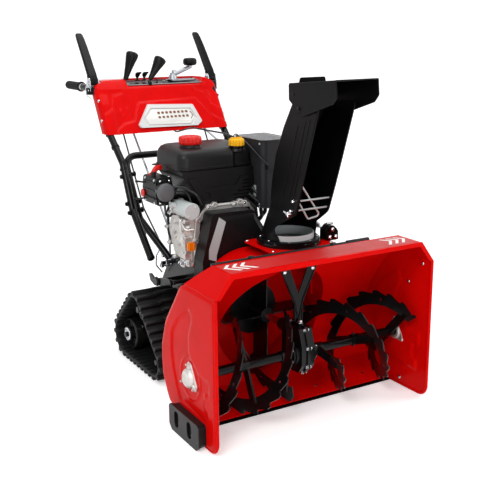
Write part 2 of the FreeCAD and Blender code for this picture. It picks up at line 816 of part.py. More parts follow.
def build_shroud():
    """Cooling shroud with a raised lower panel, a round hole and rows of vent slots."""
    body = prism("shroud_body", "XZ", "600", "790", rounded([
        (-112, 600, 10), (-184, 700, 12), (-184, 716), (90, 716), (90, 600, 10)]))
    panel = prism("shroud_panel", "XZ", "594", "600", rounded([
        (-110, 603, 6), (-166, 692, 3), (-130, 692, 5), (-106, 655, 7), (20, 655, 7),
        (42, 686, 5), (88, 686, 4), (88, 603, 6)]))
    hole = cylinder("shroud_hole", "Y", ("-98", "590", "630"), "13", "34")
    slots = [box("vent_slot_%d" % number, (low, "590", str(height)),
                 ("74 - (%s)" % low, "12", "5"))
             for number, (low, height) in enumerate(
                 (("46", 668), ("46", 656), ("46", 644), ("24", 632), ("8", 620), ("8", 608)))]
    seat("engine_shroud", cut("engine_shroud", fuse("shroud_solid", body, panel), hole, *slots))


def build_tank():
    """Fuel tank, rounded all round, whose top rises backwards, with necks for its caps."""
    left, right = size("tank_side") - size("tank_half"), size("tank_side") + size("tank_half")
    front, back = size("tank_front"), size("tank_back")
    low, top = size("tank_low"), size("tank_top")
    body = common(
        "tank_body",
        prism("tank_side_form", "YZ", "tank_side - tank_half", "tank_side + tank_half",
              rounded([(front + 3, low), (front, low + 6, 3), (front, top - 28, 9),
                       (front + 26, top - 12, 30), (back - 14, top - 1, 12),
                       (back, top - 16, 12), (back, low)])),
        prism("tank_plan_form", "XY", "tank_low", "tank_top",
              rounded([(left, front, 32), (right, front, 22), (right, back, 26),
                       (left, back, 30)])),
        prism("tank_front_form", "XZ", "tank_front", "tank_back",
              rounded([(left, low), (left, top - 18, 14), (left + 34, top - 4, 24),
                       (right - 34, top, 24), (right, top - 20, 14), (right, low)])))
    necks = [cylinder("fuel_neck", "Z", ("-107", "690", "760"), "34", "tank_top - 760"),
             cylinder("oil_neck", "Z", ("38", "622", "760"), "21", "28")]
    seat("fuel_tank", fuse("fuel_tank", body, *necks))
    seat("fuel_cap", prism("fuel_cap", "XY", "tank_top", "tank_top + 28",
                           scalloped(-107, 690, 40.5, 14)))
    seat("oil_filler_cap", prism("oil_filler_cap", "XY", "788", "813",
                                 scalloped(38, 622, 28, 10)))


def scalloped(here, there, radius, lobes):
    """Outline of a screw cap with finger grooves round its edge."""
    points = []
    for number in range(2 * lobes):
        angle = math.pi * number / lobes
        reach = radius if number % 2 else radius * 0.93
        points.append((here + reach * math.cos(angle), there + reach * math.sin(angle), 2))
    return rounded(points)


def build_muffler():
    """Muffler in a sheet-metal guard with a perforated top."""
    def corners(inset):
        return rounded([(94 + inset, 540 + inset, 20 - inset),
                        (220 - inset, 540 + inset, 20 - inset),
                        (220 - inset, 730 - inset, 8 - inset),
                        (94 + inset, 730 - inset, 8 - inset)])

    shell = prism("guard_shell", "XY", "572", "805", corners(0), corners(3))
    seat("muffler_guard", cut("muffler_guard", shell, cylinder(
        "guard_pipe_hole", "X", ("92", "650", "640"), "18", "8")))
    holes = [rounded([(side, back, 2), (side + 12, back, 2), (side + 12, back + 13, 2),
                      (side, back + 13, 2)])
             for side in range(105, 200, 17) for back in range(554, 705, 18)]
    seat("guard_grille", prism("guard_grille", "XY", "805", "808", corners(0), *holes))
    seat("muffler", fuse("muffler",
                         box("muffler_can", ("108", "560", "610"), ("96", "150", "160")),
                         cylinder("exhaust_pipe", "X", ("90", "650", "640"), "16", "30")))


def build_engine_fittings():
    """Starter, air box, heater knob, dipstick and pull starter."""
    starter = fuse("starter_motor",
                   cylinder("starter_can", "Y", ("-170", "566", "588"), "27", "104"),
                   cylinder("starter_cap", "Y", ("-170", "560", "588"), "28.5", "7"),
                   box("starter_foot", ("-170", "600", "566"), ("34", "60", "24")))
    seat("starter_motor", starter)
    case = prism("air_box_case", "XZ", "696", "808", rounded([
        (-236, 588, 10), (-236, 686, 10), (-180, 686, 6), (-176, 588, 6)]))
    lid = prism("air_box_lid", "XZ", "690", "697", rounded([
        (-232, 592, 8), (-232, 682, 8), (-184, 682, 5), (-181, 592, 5)]))
    intake = box("air_intake", ("-178", "720", "602"), ("36", "50", "12"))
    seat("air_box", fuse("air_box", case, lid, intake))
    knob = fuse("heater_knob",
                cone("knob_face", "Y", ("-232", "620", "648"), "25", "31", "7"),
                cylinder("knob_rim", "Y", ("-232", "627", "648"), "31", "9"),
                cone("knob_neck", "Y", ("-232", "636", "648"), "27", "16", "20"),
                cylinder("knob_stem", "Y", ("-222", "654", "648"), "12", "36"))
    seat("heater_knob", knob)
    grip = prism("dipstick_grip", "XZ", "556", "567", rounded([
        (-182, 454, 6), (-182, 484, 8), (-155, 484, 8), (-155, 454, 6)]))
    seat("dipstick", fuse("dipstick", grip, cylinder(
        "dipstick_stem", "Y", ("-168", "566", "468"), "8", "26")))
    seat("recoil_starter", fuse(
        "recoil_starter",
        cylinder("recoil_case", "Y", ("-30", "790", "560"), "95", "34"),
        cone("recoil_dome", "Y", ("-30", "824", "560"), "90", "70", "16")))


# ---------------------------------------------------------------- tracks

def track_circles(extra):
    """The three rollers seen from the side, each grown by an extra radius."""
    return [(size(name + "_back"), size(name + "_height"), size(name + "_radius") + extra)
            for name in ("front_roller", "rear_roller", "sprocket")]


def outer_tangent(first, second):
    """Points where the belt leaves the first roller and meets the second, on its outside."""
    reach = Vector(second[0] - first[0], second[1] - first[1], 0)
    angle = math.atan2(reach.y, reach.x) - math.acos((first[2] - second[2]) / reach.Length)
    direction = Vector(math.cos(angle), math.sin(angle), 0)
    return (Vector(first[0], first[1], 0) + direction * first[2],
            Vector(second[0], second[1], 0) + direction * second[2])


def belt_loop(extra):
    """Loop of three straight runs and three arcs round the rollers."""
    rollers = track_circles(extra)
    runs = [outer_tangent(rollers[number], rollers[(number + 1) % 3]) for number in range(3)]
    edges = []
    for number, (start, stop) in enumerate(runs):
        edges.append(Part.LineSegment(start, stop))
        centre = Vector(*rollers[(number + 1) % 3][:2], 0)
        following = runs[(number + 1) % 3][0]
        middle = ((stop - centre) + (following - centre)).normalize()
        radius = rollers[(number + 1) % 3][2]
        edges.append(Part.Arc(stop, centre + middle * radius, following))
    return edges


def build_tracks():
    """Rubber belt as one loop, with cross lugs spaced evenly along it."""
    thick, lug = size("belt_thick"), size("lug_height")
    belt = prism("track_belt", "YZ", "track_inner", "track_outer",
                 belt_loop(thick), belt_loop(0))
    path = Part.Wire([edge.toShape() for edge in belt_loop(thick - 1)])
    count = 30
    lugs = []
    for number, point in enumerate(path.discretize(Number=count + 1)[:-1]):
        edge_length = path.Length / count * number
        tangent = tangent_at(path, edge_length)
        width = size("track_outer") - size("track_inner")
        angle = math.degrees(math.atan2(tangent.y, tangent.x))
        shape = Part.makeBox(width, 16, lug, Vector(0, -8, -lug))
        shape.rotate(Vector(), Vector(1, 0, 0), angle)
        shape.translate(Vector(size("track_inner"), point.x, point.y))
        lugs.append(shape)
    solid = loose("track_lugs", lugs[0].multiFuse(lugs[1:]))
    seat_pair("track", fuse("track", belt, solid))


def tangent_at(path, distance):
    for edge in path.OrderedEdges:
        if distance <= edge.Length + 1e-6:
            parameter = edge.getParameterByLength(min(distance, edge.Length))
            tangent = edge.tangentAt(parameter)
            return tangent if edge.Orientation == "Forward" else -tangent
        distance -= edge.Length
    return path.OrderedEdges[-1].tangentAt(path.OrderedEdges[-1].LastParameter)


def build_track_frames():
    """Side plate inside each belt, with the stub axles that carry its rollers."""
    plate = prism("frame_plate", "YZ", "track_inner + 6", "track_inner + 12", rounded([
        (size("front_roller_back") - 10, size("front_roller_height"), 8),
        (size("sprocket_back"), size("sprocket_height") + 30, 20),
        (size("rear_roller_back") + 16, size("rear_roller_height"), 10),
        (size("rear_roller_back") - 30, size("rear_roller_height") - 30, 10),
        (size("front_roller_back") + 20, size("front_roller_height") - 22, 10)]))
    axles = [cylinder("axle_" + name, "X",
                      ("track_inner + 2", name + "_back", name + "_height"), "9.5",
                      "track_outer - track_inner - 14")
             for name in ("front_roller", "rear_roller")]
    drive = cylinder("axle_sprocket", "X", ("chassis_half", "sprocket_back",
                                            "sprocket_height"), "11",
                     "track_outer - chassis_half - 14")
    seat_pair("track_frame", fuse("track_frame", plate, drive, *axles))


def build_track_brackets():
    """Curved plate over each track, held off the drive case by two bars."""
    plate = prism("track_bracket_plate", "YZ", "228", "236", rounded([
        (581, 337, 4), (587, 351, 5), (700, 333, 20), (745, 316, 14), (770, 328, 5),
        (790, 330, 5), (778, 304, 8), (741, 294, 14), (690, 306, 20)]))
    bars = [cylinder("track_bracket_bar_%d" % number, "X", ("chassis_half", back, height),
                     "7", "228 - chassis_half")
            for number, (back, height) in enumerate((("606", "338"), ("716", "316")))]
    bracket = fuse("track_bracket", plate, *bars)
    twin = doc.addObject("Part::Mirroring", "track_bracket_mirror")
    twin.Source = bracket
    twin.Normal = Vector(1, 0, 0)
    seat("track_brackets", fuse("track_brackets", bracket, twin))


def build_track_wheels():
    wheels = []
    for name in ("front_roller", "rear_roller", "sprocket"):
        bore = "11" if name == "sprocket" else "9.5"
        wheel = cylinder(name, "X", ("track_inner + 20", name + "_back", name + "_height"),
                         name + "_radius - 0.5", "track_outer - track_inner - 50")
        hole = cylinder(name + "_bore", "X",
                        ("track_inner + 10", name + "_back", name + "_height"), bore,
                        "track_outer - track_inner")
        dish = cut(name + "_dish",
                   cone(name + "_dish_outside", "X",
                        ("track_outer - 48", name + "_back", name + "_height"),
                        name + "_radius - 12", name + "_radius - 6", "20"),
                   cylinder(name + "_hub", "X",
                            ("track_outer - 50", name + "_back", name + "_height"), "20", "24"))
        wheels.append(cut(name + "_wheel", wheel, hole, dish))
    seat_pair("track_wheels", fuse("track_wheels", *wheels))


# ---------------------------------------------------------------- handles and controls

def upper_tube(radius):
    """Upper handle tube on the operator's left, from the lower handle to the grip's end."""
    return swept([Vector(236, 945, 500), Vector(243, 1092, 790), Vector(245, 1190, 962),
                  Vector(255, 1310, 962), Vector(255, 1488, 962)], radius, 45)


def build_handles():
    """U-shaped lower handle, upper tubes bolted outside its legs, grips and clutch levers."""
    bar = size("tube_radius")
    lower = swept([Vector(-150, 796, 371), Vector(-205, 925, 500), Vector(-211, 1036, 718),
                   Vector(211, 1036, 718), Vector(205, 925, 500), Vector(150, 796, 371)],
                  bar, 45)
    struts = []
    for side in (-1, 1):
        foot, head = Vector(side * 168, 806, 352), Vector(side * 203, 916, 478)
        struts.append(loose("handle_strut_%d" % (side + 1),
                            swept([foot, (foot + head) / 2 + Vector(side * 6, 8, -10), head],
                                  6, 40)))
        pin = Part.makeCylinder(7, 40, Vector(side * 136, 806, 352), Vector(side, 0, 0))
        struts.append(loose("handle_pin_%d" % (side + 1), pin))
    seat("lower_handle", fuse("lower_handle", loose("lower_tube", lower), *struts))
    saddle = box("lever_saddle", ("236", "1198", "962"), ("38", "30", "16"))
    ears = [prism("lever_ear_%d" % number, "YZ", start, start + 3, rounded([
        (1196, 970), (1196, 1002, 8), (1216, 1002, 8), (1228, 970)]))
        for number, start in enumerate((236, 271))]
    pin_bore = cylinder("lever_pin_bore", "X", ("230", "lever_pivot_back",
                                                "lever_pivot_height"), "4.3", "50")
    bracket = cut("lever_bracket", fuse("lever_bracket_solid", saddle, *ears),
                  loose("upper_tube_room", upper_tube(bar)), pin_bore)
    seat_pair("upper_handle", fuse("upper_handle", loose("upper_tube", upper_tube(bar)),
                                   bracket))
    grip = cut("grip", cylinder("grip_solid", "Y", ("255", "1340", "grip_height"),
                                "grip_radius", "150"),
               cylinder("grip_hole", "Y", ("255", "1330", "grip_height"),
                        "tube_radius", "158"))
    seat_pair("grip", grip)
    blade = prism("lever_blade", "YZ", "241", "269", rounded([
        (1198, 994, 6), (1210, 1010, 4), (1330, 1166, 7), (1346, 1156, 7), (1232, 1004, 4),
        (1212, 984, 6), (1200, 984, 5)]))
    pin = cylinder("lever_pin", "X", ("235", "lever_pivot_back", "lever_pivot_height"), "4",
                   "40")
    seat_pair("clutch_lever", fuse("clutch_lever", blade, pin))


def chute_rod(radius):
    """Long rod from the crank on the dash down to the worm beside the chute's ring."""
    low, high = Vector(240, 370, 507.5), Vector(206, 1130, 850)
    return Part.makeCylinder(radius, high.distanceToPoint(low), low, high - low)


def build_clean_out_tool():
    """Bar with a flat blade for clearing the chute, held in two clips behind the lip."""
    bar = cylinder("tool_bar", "X", ("-300", "133", "529"), "6", "534")
    blade = prism("tool_blade", "XY", "526", "533", rounded([
        (-298, 125), (-330, 121, 8), (-330, 145, 8), (-298, 141)]))
    grip = cylinder("tool_grip", "X", ("150", "133", "530"), "8", "84")
    clips = [prism("tool_clip_%d" % number, "YZ", str(start), str(start + 14), rounded([
        (120, 510), (121, 533, 6), (127, 539, 5), (139, 539, 6), (152, 496)]))
        for number, start in enumerate((-206, 90))]
    outside = doc.getObject("housing_outside")
    seat("clean_out_tool", cut("clean_out_tool", fuse("tool_solid", bar, blade, grip, *clips),
                               outside))


def build_cables():
    """Hood cable to its clip on the muffler guard, and a clutch cable on each side."""
    hood = swept([Vector(20, 1225, 989), Vector(22, 1205, 880), Vector(38, 1110, 784),
                  Vector(52, 990, 814), Vector(75, 770, 812), Vector(84, 640, 797),
                  Vector(86, 552, 756), Vector(110, 523, 722)], 3, 45)
    clip = box("cable_clip", ("103", "519", "712"), ("16", "21", "14"))
    pieces = [loose("hood_cable", hood), clip]
    for side in (-1, 1):
        route = [Vector(side * 176, 1230, 989), Vector(side * 176, 1222, 880),
                 Vector(side * 175, 1120, 790), Vector(side * 172, 962, 530),
                 Vector(side * 126, 884, 372), Vector(side * 112, 858, 300)]
        pieces.append(loose("clutch_cable_%d" % (side + 1), swept(route, 3, 60)))
    seat("cables", cut("cables", fuse("cable_runs", *pieces),
                       doc.getObject("chassis_outside")))


def build_controls():
    """Grey panel on the dash with two knob levers, two small levers and the chute crank."""
    panel = box("control_panel", ("-200", "1208", "992"), ("404", "100", "6"))
    seat("control_panel", panel)
    for label, side, lean in (("gear_lever", -114, 0.3), ("deflector_lever", -16, 0.6)):
        reach = Vector(95 * lean, 12, 84)
        stem = Part.makeCone(5, 17, reach.Length, Vector(side, 1225, 1001), reach)
        base = Part.makeCylinder(8, 4, Vector(side, 1225, 998))
        seat(label, loose(label, stem.fuse(base)))
    paddles = fuse("small_levers",
                   box("paddle_left", ("-84", "1222", "998"), ("14", "10", "22")),
                   box("paddle_right", ("-56", "1222", "998"), ("14", "10", "22")))
    seat("small_levers", paddles)
    crank = fuse("chute_crank",
                 cone("crank_boss", "Z", ("94", "1236", "998"), "16", "12", "22"),
                 loose("crank_arm", Part.makeCylinder(5, 82, Vector(94, 1236, 1014),
                                                      Vector(78, -8, 22))),
                 cone("crank_knob", "Z", ("168", "1228", "1034"), "16", "24", "28"))
    seat("chute_crank", crank)
    seat("chute_rod", loose("chute_rod", chute_rod(4)))
    shift_start, shift_end = Vector(-128, 850, 330), Vector(-160, 1122, 830)
    shift = Part.makeCylinder(4, shift_end.distanceToPoint(shift_start), shift_start,
                              shift_end - shift_start)
    seat("shift_rod", loose("shift_rod", shift))


def dash_form(label, inset, spill):
    """Loft of the dash, whose ends curve back round the handle tubes."""
    sections = []
    for height, half, front, back, radius in (
            (798 - spill, size("dash_half"), 1074 - 0.6 * spill, 1152, 30),
            (957, size("dash_half"), 1170, 1318, 32),
            (992 - inset, size("dash_half") - 55, 1196, 1318, 20)):
        half, front, back = half - inset, front + 1.2 * inset, back + spill
        sections.append(wire_at("XY", height, rounded([
            (-half, front, radius), (half, front, radius), (half, back, 4), (-half, back, 4)])))
    return loose(label, Part.makeLoft(sections, True, True))


def build_dash():
    """Dash: a thin moulding wrapped over the handle tubes, open below and behind."""
    outside = dash_form("dash_outside", 0, 0)
    room_left = loose("tube_room_left", upper_tube(size("tube_radius") + 0.5))
    room_right = loose("tube_room_right",
                       upper_tube(size("tube_radius") + 0.5).mirror(Vector(), Vector(1, 0, 0)))
    recesses = [box("lever_recess_%d" % number, (low, "1192", "936"), ("60", "140", "70"))
                for number, low in enumerate(("229", "-289"))]
    seat("dashboard", cut("dashboard", outside, dash_form("dash_inside", 3, 8), room_left,
                          room_right, loose("chute_rod_room", chute_rod(8)), *recesses))
    case = prism("headlight_case", "XZ", "1054", "1160", rounded([
        (-131, 822, 6), (-95, 900, 6), (95, 900, 6), (131, 822, 6)]))
    bezel = prism("headlight_lens", "XZ", "1049", "1054", rounded([
        (-116, 822, 6), (-118, 840, 5), (-92, 894, 6), (86, 894, 6), (117, 836, 5),
        (104, 822, 6)]))
    seat("headlight", cut("headlight", fuse("headlight_solid", case, bezel), outside))


build_auger_housing()
build_drum()
build_scraper()
build_skids()
build_bearings()
build_flights()
build_auger_shaft()
build_gearbox()
build_brace()
build_impeller()
build_neck_ring()
build_chute()
build_wire_guard()
build_deflector()
build_chassis()
build_belt_cover()
build_crankcase()
build_shroud()
build_tank()
build_muffler()
build_engine_fittings()
build_tracks()
build_track_frames()
build_track_brackets()
build_track_wheels()
build_handles()
build_clean_out_tool()
build_cables()
build_controls()
build_dash()

doc.recompute()
failed = [item.Name for item in doc.Objects if "Invalid" in item.State or "Error" in item.State]
failed += [part.Label for part in nodes if part.Shape.isNull() or not part.Shape.isValid()]
if failed:
    raise SystemExit("failed: " + ", ".join(failed))

os.makedirs("parts", exist_ok=True)
for part in nodes:
    part.Shape.exportStep("parts/%s.step" % part.Label)
print(len(nodes), "pieces written")
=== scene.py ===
"""Looks of a tracked walk-behind snow blower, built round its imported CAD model."""
import math

import bmesh
import bpy
from mathutils import Matrix, Vector


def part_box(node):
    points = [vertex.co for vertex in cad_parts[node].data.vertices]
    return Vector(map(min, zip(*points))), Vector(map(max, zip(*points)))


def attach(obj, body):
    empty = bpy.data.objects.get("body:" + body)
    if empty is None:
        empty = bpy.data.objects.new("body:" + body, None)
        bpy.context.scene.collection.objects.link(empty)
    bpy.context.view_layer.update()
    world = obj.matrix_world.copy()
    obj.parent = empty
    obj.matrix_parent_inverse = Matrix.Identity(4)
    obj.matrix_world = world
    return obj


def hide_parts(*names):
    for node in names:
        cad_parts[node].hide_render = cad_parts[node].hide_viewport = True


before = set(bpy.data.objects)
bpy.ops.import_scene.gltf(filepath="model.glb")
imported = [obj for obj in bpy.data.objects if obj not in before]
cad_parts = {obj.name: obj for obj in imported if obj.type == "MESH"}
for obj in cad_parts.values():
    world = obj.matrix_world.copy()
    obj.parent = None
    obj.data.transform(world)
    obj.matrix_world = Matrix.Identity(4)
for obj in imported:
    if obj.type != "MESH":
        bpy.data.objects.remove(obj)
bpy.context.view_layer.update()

bl_info = {
    "name": "Tracked snow blower",
    "version": (1, 0, 0),
    "blender": (4, 5, 0),
    "location": "View3D > Sidebar > Snow blower",
    "description": "Paints and details the tracked snow blower",
    "category": "Object",
}

# Pieces are drawn in millimetres with Y measured back from the housing's front edge
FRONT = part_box("auger_housing")[0].y
MILLIMETRE = 0.001
# Directions as the operator sees them
LEFT, RIGHT, BACK, FORWARD, UP = (1, 0, 0), (-1, 0, 0), (0, 1, 0), (0, -1, 0), (0, 0, 1)
SIDES = ((1, "left"), (-1, "right"))
# Middle lines that parts turn about: Y and Z of the auger's, X and Y of the chute's
AUGER, CHUTE = (161, 189), (110, 400)
# Corners less sharp than this many degrees are left as they are by a bevel
BEVEL_FROM = 28
MATERIALS = {}


# ------------------------------------------------------------------ outlines and paths

def fillet(points, steps=4):
    """Corners of an outline; a point's third number rounds its corner."""
    made = []
    for number, (u, v, *radius) in enumerate(points):
        corner = Vector((u, v))
        if not radius or not radius[0]:
            made.append((u, v))
            continue
        before = (Vector(points[number - 1][:2]) - corner).normalized()
        after = (Vector(points[(number + 1) % len(points)][:2]) - corner).normalized()
        half = before.angle(after) / 2
        inward = (before + after).normalized()
        centre = corner + inward * (radius[0] / math.sin(half))
        start = corner + before * (radius[0] / math.tan(half)) - centre
        stop = corner + after * (radius[0] / math.tan(half)) - centre
        sweep = start.angle_signed(stop)
        for step in range(steps + 1):
            turned = Matrix.Rotation(-sweep * step / steps, 2) @ start
            made.append(tuple(centre + turned))
    return made


def round_box(low, high, radius, steps=4):
    """Rounded rectangle between two corners."""
    (start, foot), (stop, top) = low, high
    return fillet([(start, foot, radius), (stop, foot, radius), (stop, top, radius),
                   (start, top, radius)], steps)


def turns(count, phase=0.0):
    """Angles evenly spaced round a full turn, the first one a share of a step on."""
    return [math.tau * (number + phase) / count for number in range(count)]


def polar(centre, radius, angle):
    """Point at a radius and an angle about a centre."""
    return centre[0] + radius * math.cos(angle), centre[1] + radius * math.sin(angle)


def inside_by(outline, u, v):
    """Distance from a point to a closed outline, positive inside it."""
    spot, near, within = Vector((u, v)), math.inf, False
    for a, b in zip(outline, outline[1:] + outline[:1]):
        start, run = Vector(a), Vector(b) - Vector(a)
        share = max(0.0, min(1.0, (spot - start).dot(run) / run.length_squared))
        near = min(near, (spot - start - run * share).length)
        if (a[1] > v) != (b[1] > v) and u < a[0] + (v - a[1]) / (b[1] - a[1]) * run.x:
            within = not within
    return near if within else -near


def step_up(distance, width):
    """Smooth rise from 0 to 1 over a width about zero."""
    share = max(0.0, min(1.0, distance / width + 0.5))
    return share * share * (3 - 2 * share)


def bend(points, radius, steps=6):
    """A path of straight runs joined by arcs."""
    points = [Vector(p) for p in points]
    made = [points[0]]
    for before, corner, after in zip(points, points[1:], points[2:]):
        back, ahead = (before - corner).normalized(), (after - corner).normalized()
        half = back.angle(ahead) / 2
        centre = corner + (back + ahead).normalized() * (radius / math.sin(half))
        start = corner + back * (radius / math.tan(half)) - centre
        stop = corner + ahead * (radius / math.tan(half)) - centre
        made += [centre + start.slerp(stop, step / steps) * radius
                 for step in range(steps + 1)]
    made.append(points[-1])
    return made


def flow(points, steps=8):
    """A smooth path through its points."""
    points = [Vector(p) for p in points]
    ends = [2 * points[0] - points[1]] + points + [2 * points[-1] - points[-2]]
    made = []
    for a, b, c, d in zip(ends, ends[1:], ends[2:], ends[3:]):
        for step in range(steps):
            t = step / steps
            made.append(0.5 * (2 * b + (c - a) * t + (2 * a - 5 * b + 4 * c - d) * t * t
                               + (3 * b - a - 3 * c + d) * t ** 3))
    made.append(points[-1])
    return made


# ------------------------------------------------------------------ solids, in millimetres

def lift(axis, u, v, along):
    """A point of an outline in YZ, XZ or XY, moved along X, Y or Z."""
    return {"X": (along, u, v), "Y": (u, along, v), "Z": (u, v, along)}[axis]


def skin(bm, loops, caps=True, around=True):
    """Faces between loops of points that have the same count."""
    rows = [[bm.verts.new(p) for p in points] for points in loops]
    for low, high in zip(rows, rows[1:]):
        count = len(low)
        for k in range(count if around else count - 1):
            following = (k + 1) % count
            bm.faces.new((low[k], low[following], high[following], high[k]))
    if caps:
        bm.faces.new(list(reversed(rows[0])))
        bm.faces.new(rows[-1])
    return rows


def prism(bm, outline, axis, start, stop, shrink=0.0):
    """An outline pushed along an axis, with its far end made smaller about its middle."""
    middle = sum((Vector(p) for p in outline), Vector((0, 0))) / len(outline)
    far = [tuple(middle + (Vector(p) - middle) * (1 - shrink)) for p in outline]
    skin(bm, [[lift(axis, *p, start) for p in outline], [lift(axis, *p, stop) for p in far]])


def plate(bm, outline, holes, axis, start, stop):
    """A flat plate with holes right through it."""
    loops = []
    for points in [outline] + list(holes):
        verts = [bm.verts.new(lift(axis, *p, start)) for p in points]
        loops += [bm.edges.new((a, b)) for a, b in zip(verts, verts[1:] + verts[:1])]
    filled = bmesh.ops.triangle_fill(bm, edges=loops, use_beauty=True)
    faces = [item for item in filled["geom"] if isinstance(item, bmesh.types.BMFace)]
    pushed = bmesh.ops.extrude_face_region(bm, geom=faces)
    verts = [item for item in pushed["geom"] if isinstance(item, bmesh.types.BMVert)]
    bmesh.ops.translate(bm, verts=verts, vec=Vector(lift(axis, 0, 0, stop - start)))


def block(bm, low, high, radius=0.0):
    """A box between two corners, its upright edges rounded."""
    prism(bm, round_box(low[:2], high[:2], radius), "Z", low[2], high[2])


def across(along):
    """Two unit vectors square to a direction."""
    along = Vector(along).normalized()
    side = along.cross(Vector(UP) if abs(along.z) < 0.9 else Vector(BACK))
    side.normalize()
    return along, side, along.cross(side)


def hoop(at, side, other, radius, steps):
    """Circle of points about a spot, in the plane of two unit vectors."""
    return [at + side * radius * math.cos(angle) + other * radius * math.sin(angle)
            for angle in turns(steps)]


def lathe(bm, profile, at, along, steps=24):
    """A turned solid; the profile lists radius and distance along its axis."""
    along, side, other = across(along)
    # a tip keeps a hair's radius, so that its end face stays valid
    skin(bm, [hoop(Vector(at) + along * distance, side, other, max(radius, 0.01), steps)
              for radius, distance in profile])


def tube(bm, path, radius, steps=12):
    """A round bar or cable along a path; the radius may change along it."""
    path = [Vector(p) for p in path]
    radii = radius if isinstance(radius, list) else [radius] * len(path)
    side = across(path[1] - path[0])[1]
    loops = []
    for number, point in enumerate(path):
        before, after = path[max(number - 1, 0)], path[min(number + 1, len(path) - 1)]
        ahead = (after - before).normalized()
        side = (side - ahead * side.dot(ahead)).normalized()
        loops.append(hoop(point, side, ahead.cross(side), radii[number], steps))
    skin(bm, loops)


def bolt(bm, at, along, size=8.0):
    """Hexagon flange bolt: a washer, a six-sided head and a low dome."""
    lathe(bm, [(size * 1.15, -0.5), (size * 1.15, 1.2), (size * 0.9, 1.8)], at, along, 18)
    head = Vector(at) + Vector(along).normalized() * 1.6
    lathe(bm, [(size * 0.78, 0), (size * 0.78, size * 0.55), (size * 0.62, size * 0.7)],
          head, along, 6)


def dome(bm, at, along, size=8.0):
    """Round-headed bolt."""
    lathe(bm, [(size, -0.5), (size * 0.96, size * 0.2), (size * 0.75, size * 0.42),
               (size * 0.4, size * 0.55), (0, size * 0.6)], at, along, 16)


def both_sides(bm):
    """Repeat everything so far on the other side of the machine."""
    bmesh.ops.mirror(bm, geom=bm.verts[:] + bm.edges[:] + bm.faces[:], axis="X",
                     matrix=Matrix.Identity(4), merge_dist=-1.0)


def show(name, bm):
    """Put a mesh into the scene as a smooth-shaded object."""
    mesh = bpy.data.meshes.new(name)
    bm.to_mesh(mesh)
    bm.free()
    mesh.polygons.foreach_set("use_smooth", [True] * len(mesh.polygons))
    thing = bpy.data.objects.new(name, mesh)
    bpy.context.scene.collection.objects.link(thing)
    return thing


def piece(name, bm, material, body="machine", replaces=(), bevel=0.0, angle=32):
    """Turn a mesh in machine millimetres into a named piece that rides on a body."""
    bmesh.ops.recalc_face_normals(bm, faces=bm.faces[:])
    if bevel:
        sharp = [edge for edge in bm.edges if edge.is_manifold
                 and edge.calc_face_angle(0) > math.radians(BEVEL_FROM)]
        bmesh.ops.bevel(bm, geom=sharp, offset=bevel, segments=2, profile=0.6,
                        affect="EDGES", clamp_overlap=True)
    bm.transform(Matrix.Translation((0, FRONT, 0)) @ Matrix.Scale(MILLIMETRE, 4))
    thing = show(name, bm)
    thing.data.set_sharp_from_angle(angle=math.radians(angle))
    thing.data.materials.append(MATERIALS[material])
    if bevel:
        weighted = thing.modifiers.new("flat_faces", "WEIGHTED_NORMAL")
        weighted.keep_sharp = True
    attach(thing, body)
    if replaces:
        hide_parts(*replaces)


# ------------------------------------------------------------------ materials

def linear(text):
    """An sRGB hex value as linear red, green, blue and alpha."""
    parts = [int(text.lstrip("#")[k:k + 2], 16) / 255 for k in (0, 2, 4)]
    return (*[p / 12.92 if p <= 0.04045 else ((p + 0.055) / 1.055) ** 2.4 for p in parts], 1)


def per(millimetres):
    """Texture scale that repeats once in so many millimetres."""
    return 1000 / millimetres


def add(tree, kind, inputs=None, **settings):
    """Add a node with its settings; an input is a value or the socket that feeds it."""
    made = tree.nodes.new("ShaderNode" + kind)
    for name, value in settings.items():
        setattr(made, name, value)
    for name, value in (inputs or {}).items():
        if isinstance(value, bpy.types.NodeSocket):
            tree.links.new(value, made.inputs[name])
        else:
            made.inputs[name].default_value = value
    return made


def surface(name):
    """A fresh material with its tree, its shader and the object's own coordinates."""
    made = bpy.data.materials.new(name)
    made.use_nodes = True
    tree = made.node_tree
    tree.nodes.clear()
    shader = add(tree, "BsdfPrincipled")
    add(tree, "OutputMaterial", {"Surface": shader.outputs["BSDF"]})
    place = add(tree, "TexCoord").outputs["Object"]
    MATERIALS[name] = made
    return tree, shader, place


def mottle(tree, shader, place, base, darker, size, roughness, spread):
    """Slow changes of tint and gloss over the surface, at a size in millimetres."""
    cloud = add(tree, "TexNoise", {"Vector": place, "Scale": per(size), "Detail": 3.0})
    tint = add(tree, "Mix", {0: cloud.outputs["Fac"], 6: linear(base), 7: linear(darker)},
               data_type="RGBA")
    tree.links.new(tint.outputs[2], shader.inputs["Base Color"])
    gloss = add(tree, "MapRange", {"Value": cloud.outputs["Fac"],
                                   "To Min": roughness - spread, "To Max": roughness + spread})
    tree.links.new(gloss.outputs["Result"], shader.inputs["Roughness"])


def grain(tree, shader, place, size, depth, detail=2.0):
    """Fine relief, at a size and a depth in millimetres."""
    noise = add(tree, "TexNoise", {"Vector": place, "Scale": per(size), "Detail": detail})
    relief = add(tree, "Bump", {"Height": noise.outputs["Fac"], "Distance": depth / 1000,
                                "Strength": 0.6})
    tree.links.new(relief.outputs["Normal"], shader.inputs["Normal"])


def powder_coated_steel(name, base, darker, roughness, coat, mirror=0.2):
    """Baked powder coat: an even colour, a soft orange peel and a clear gloss."""
    tree, shader, place = surface(name)
    mottle(tree, shader, place, base, darker, 90, roughness, 0.04)
    # orange peel is about 1 mm across; drawn at 2.5 mm so that it shows
    grain(tree, shader, place, 2.5, 0.03)
    # pigment right up to the surface keeps the colour deep where it faces away
    shader.inputs["Specular IOR Level"].default_value = mirror
    shader.inputs["Coat Weight"].default_value = coat
    shader.inputs["Coat Roughness"].default_value = 0.06


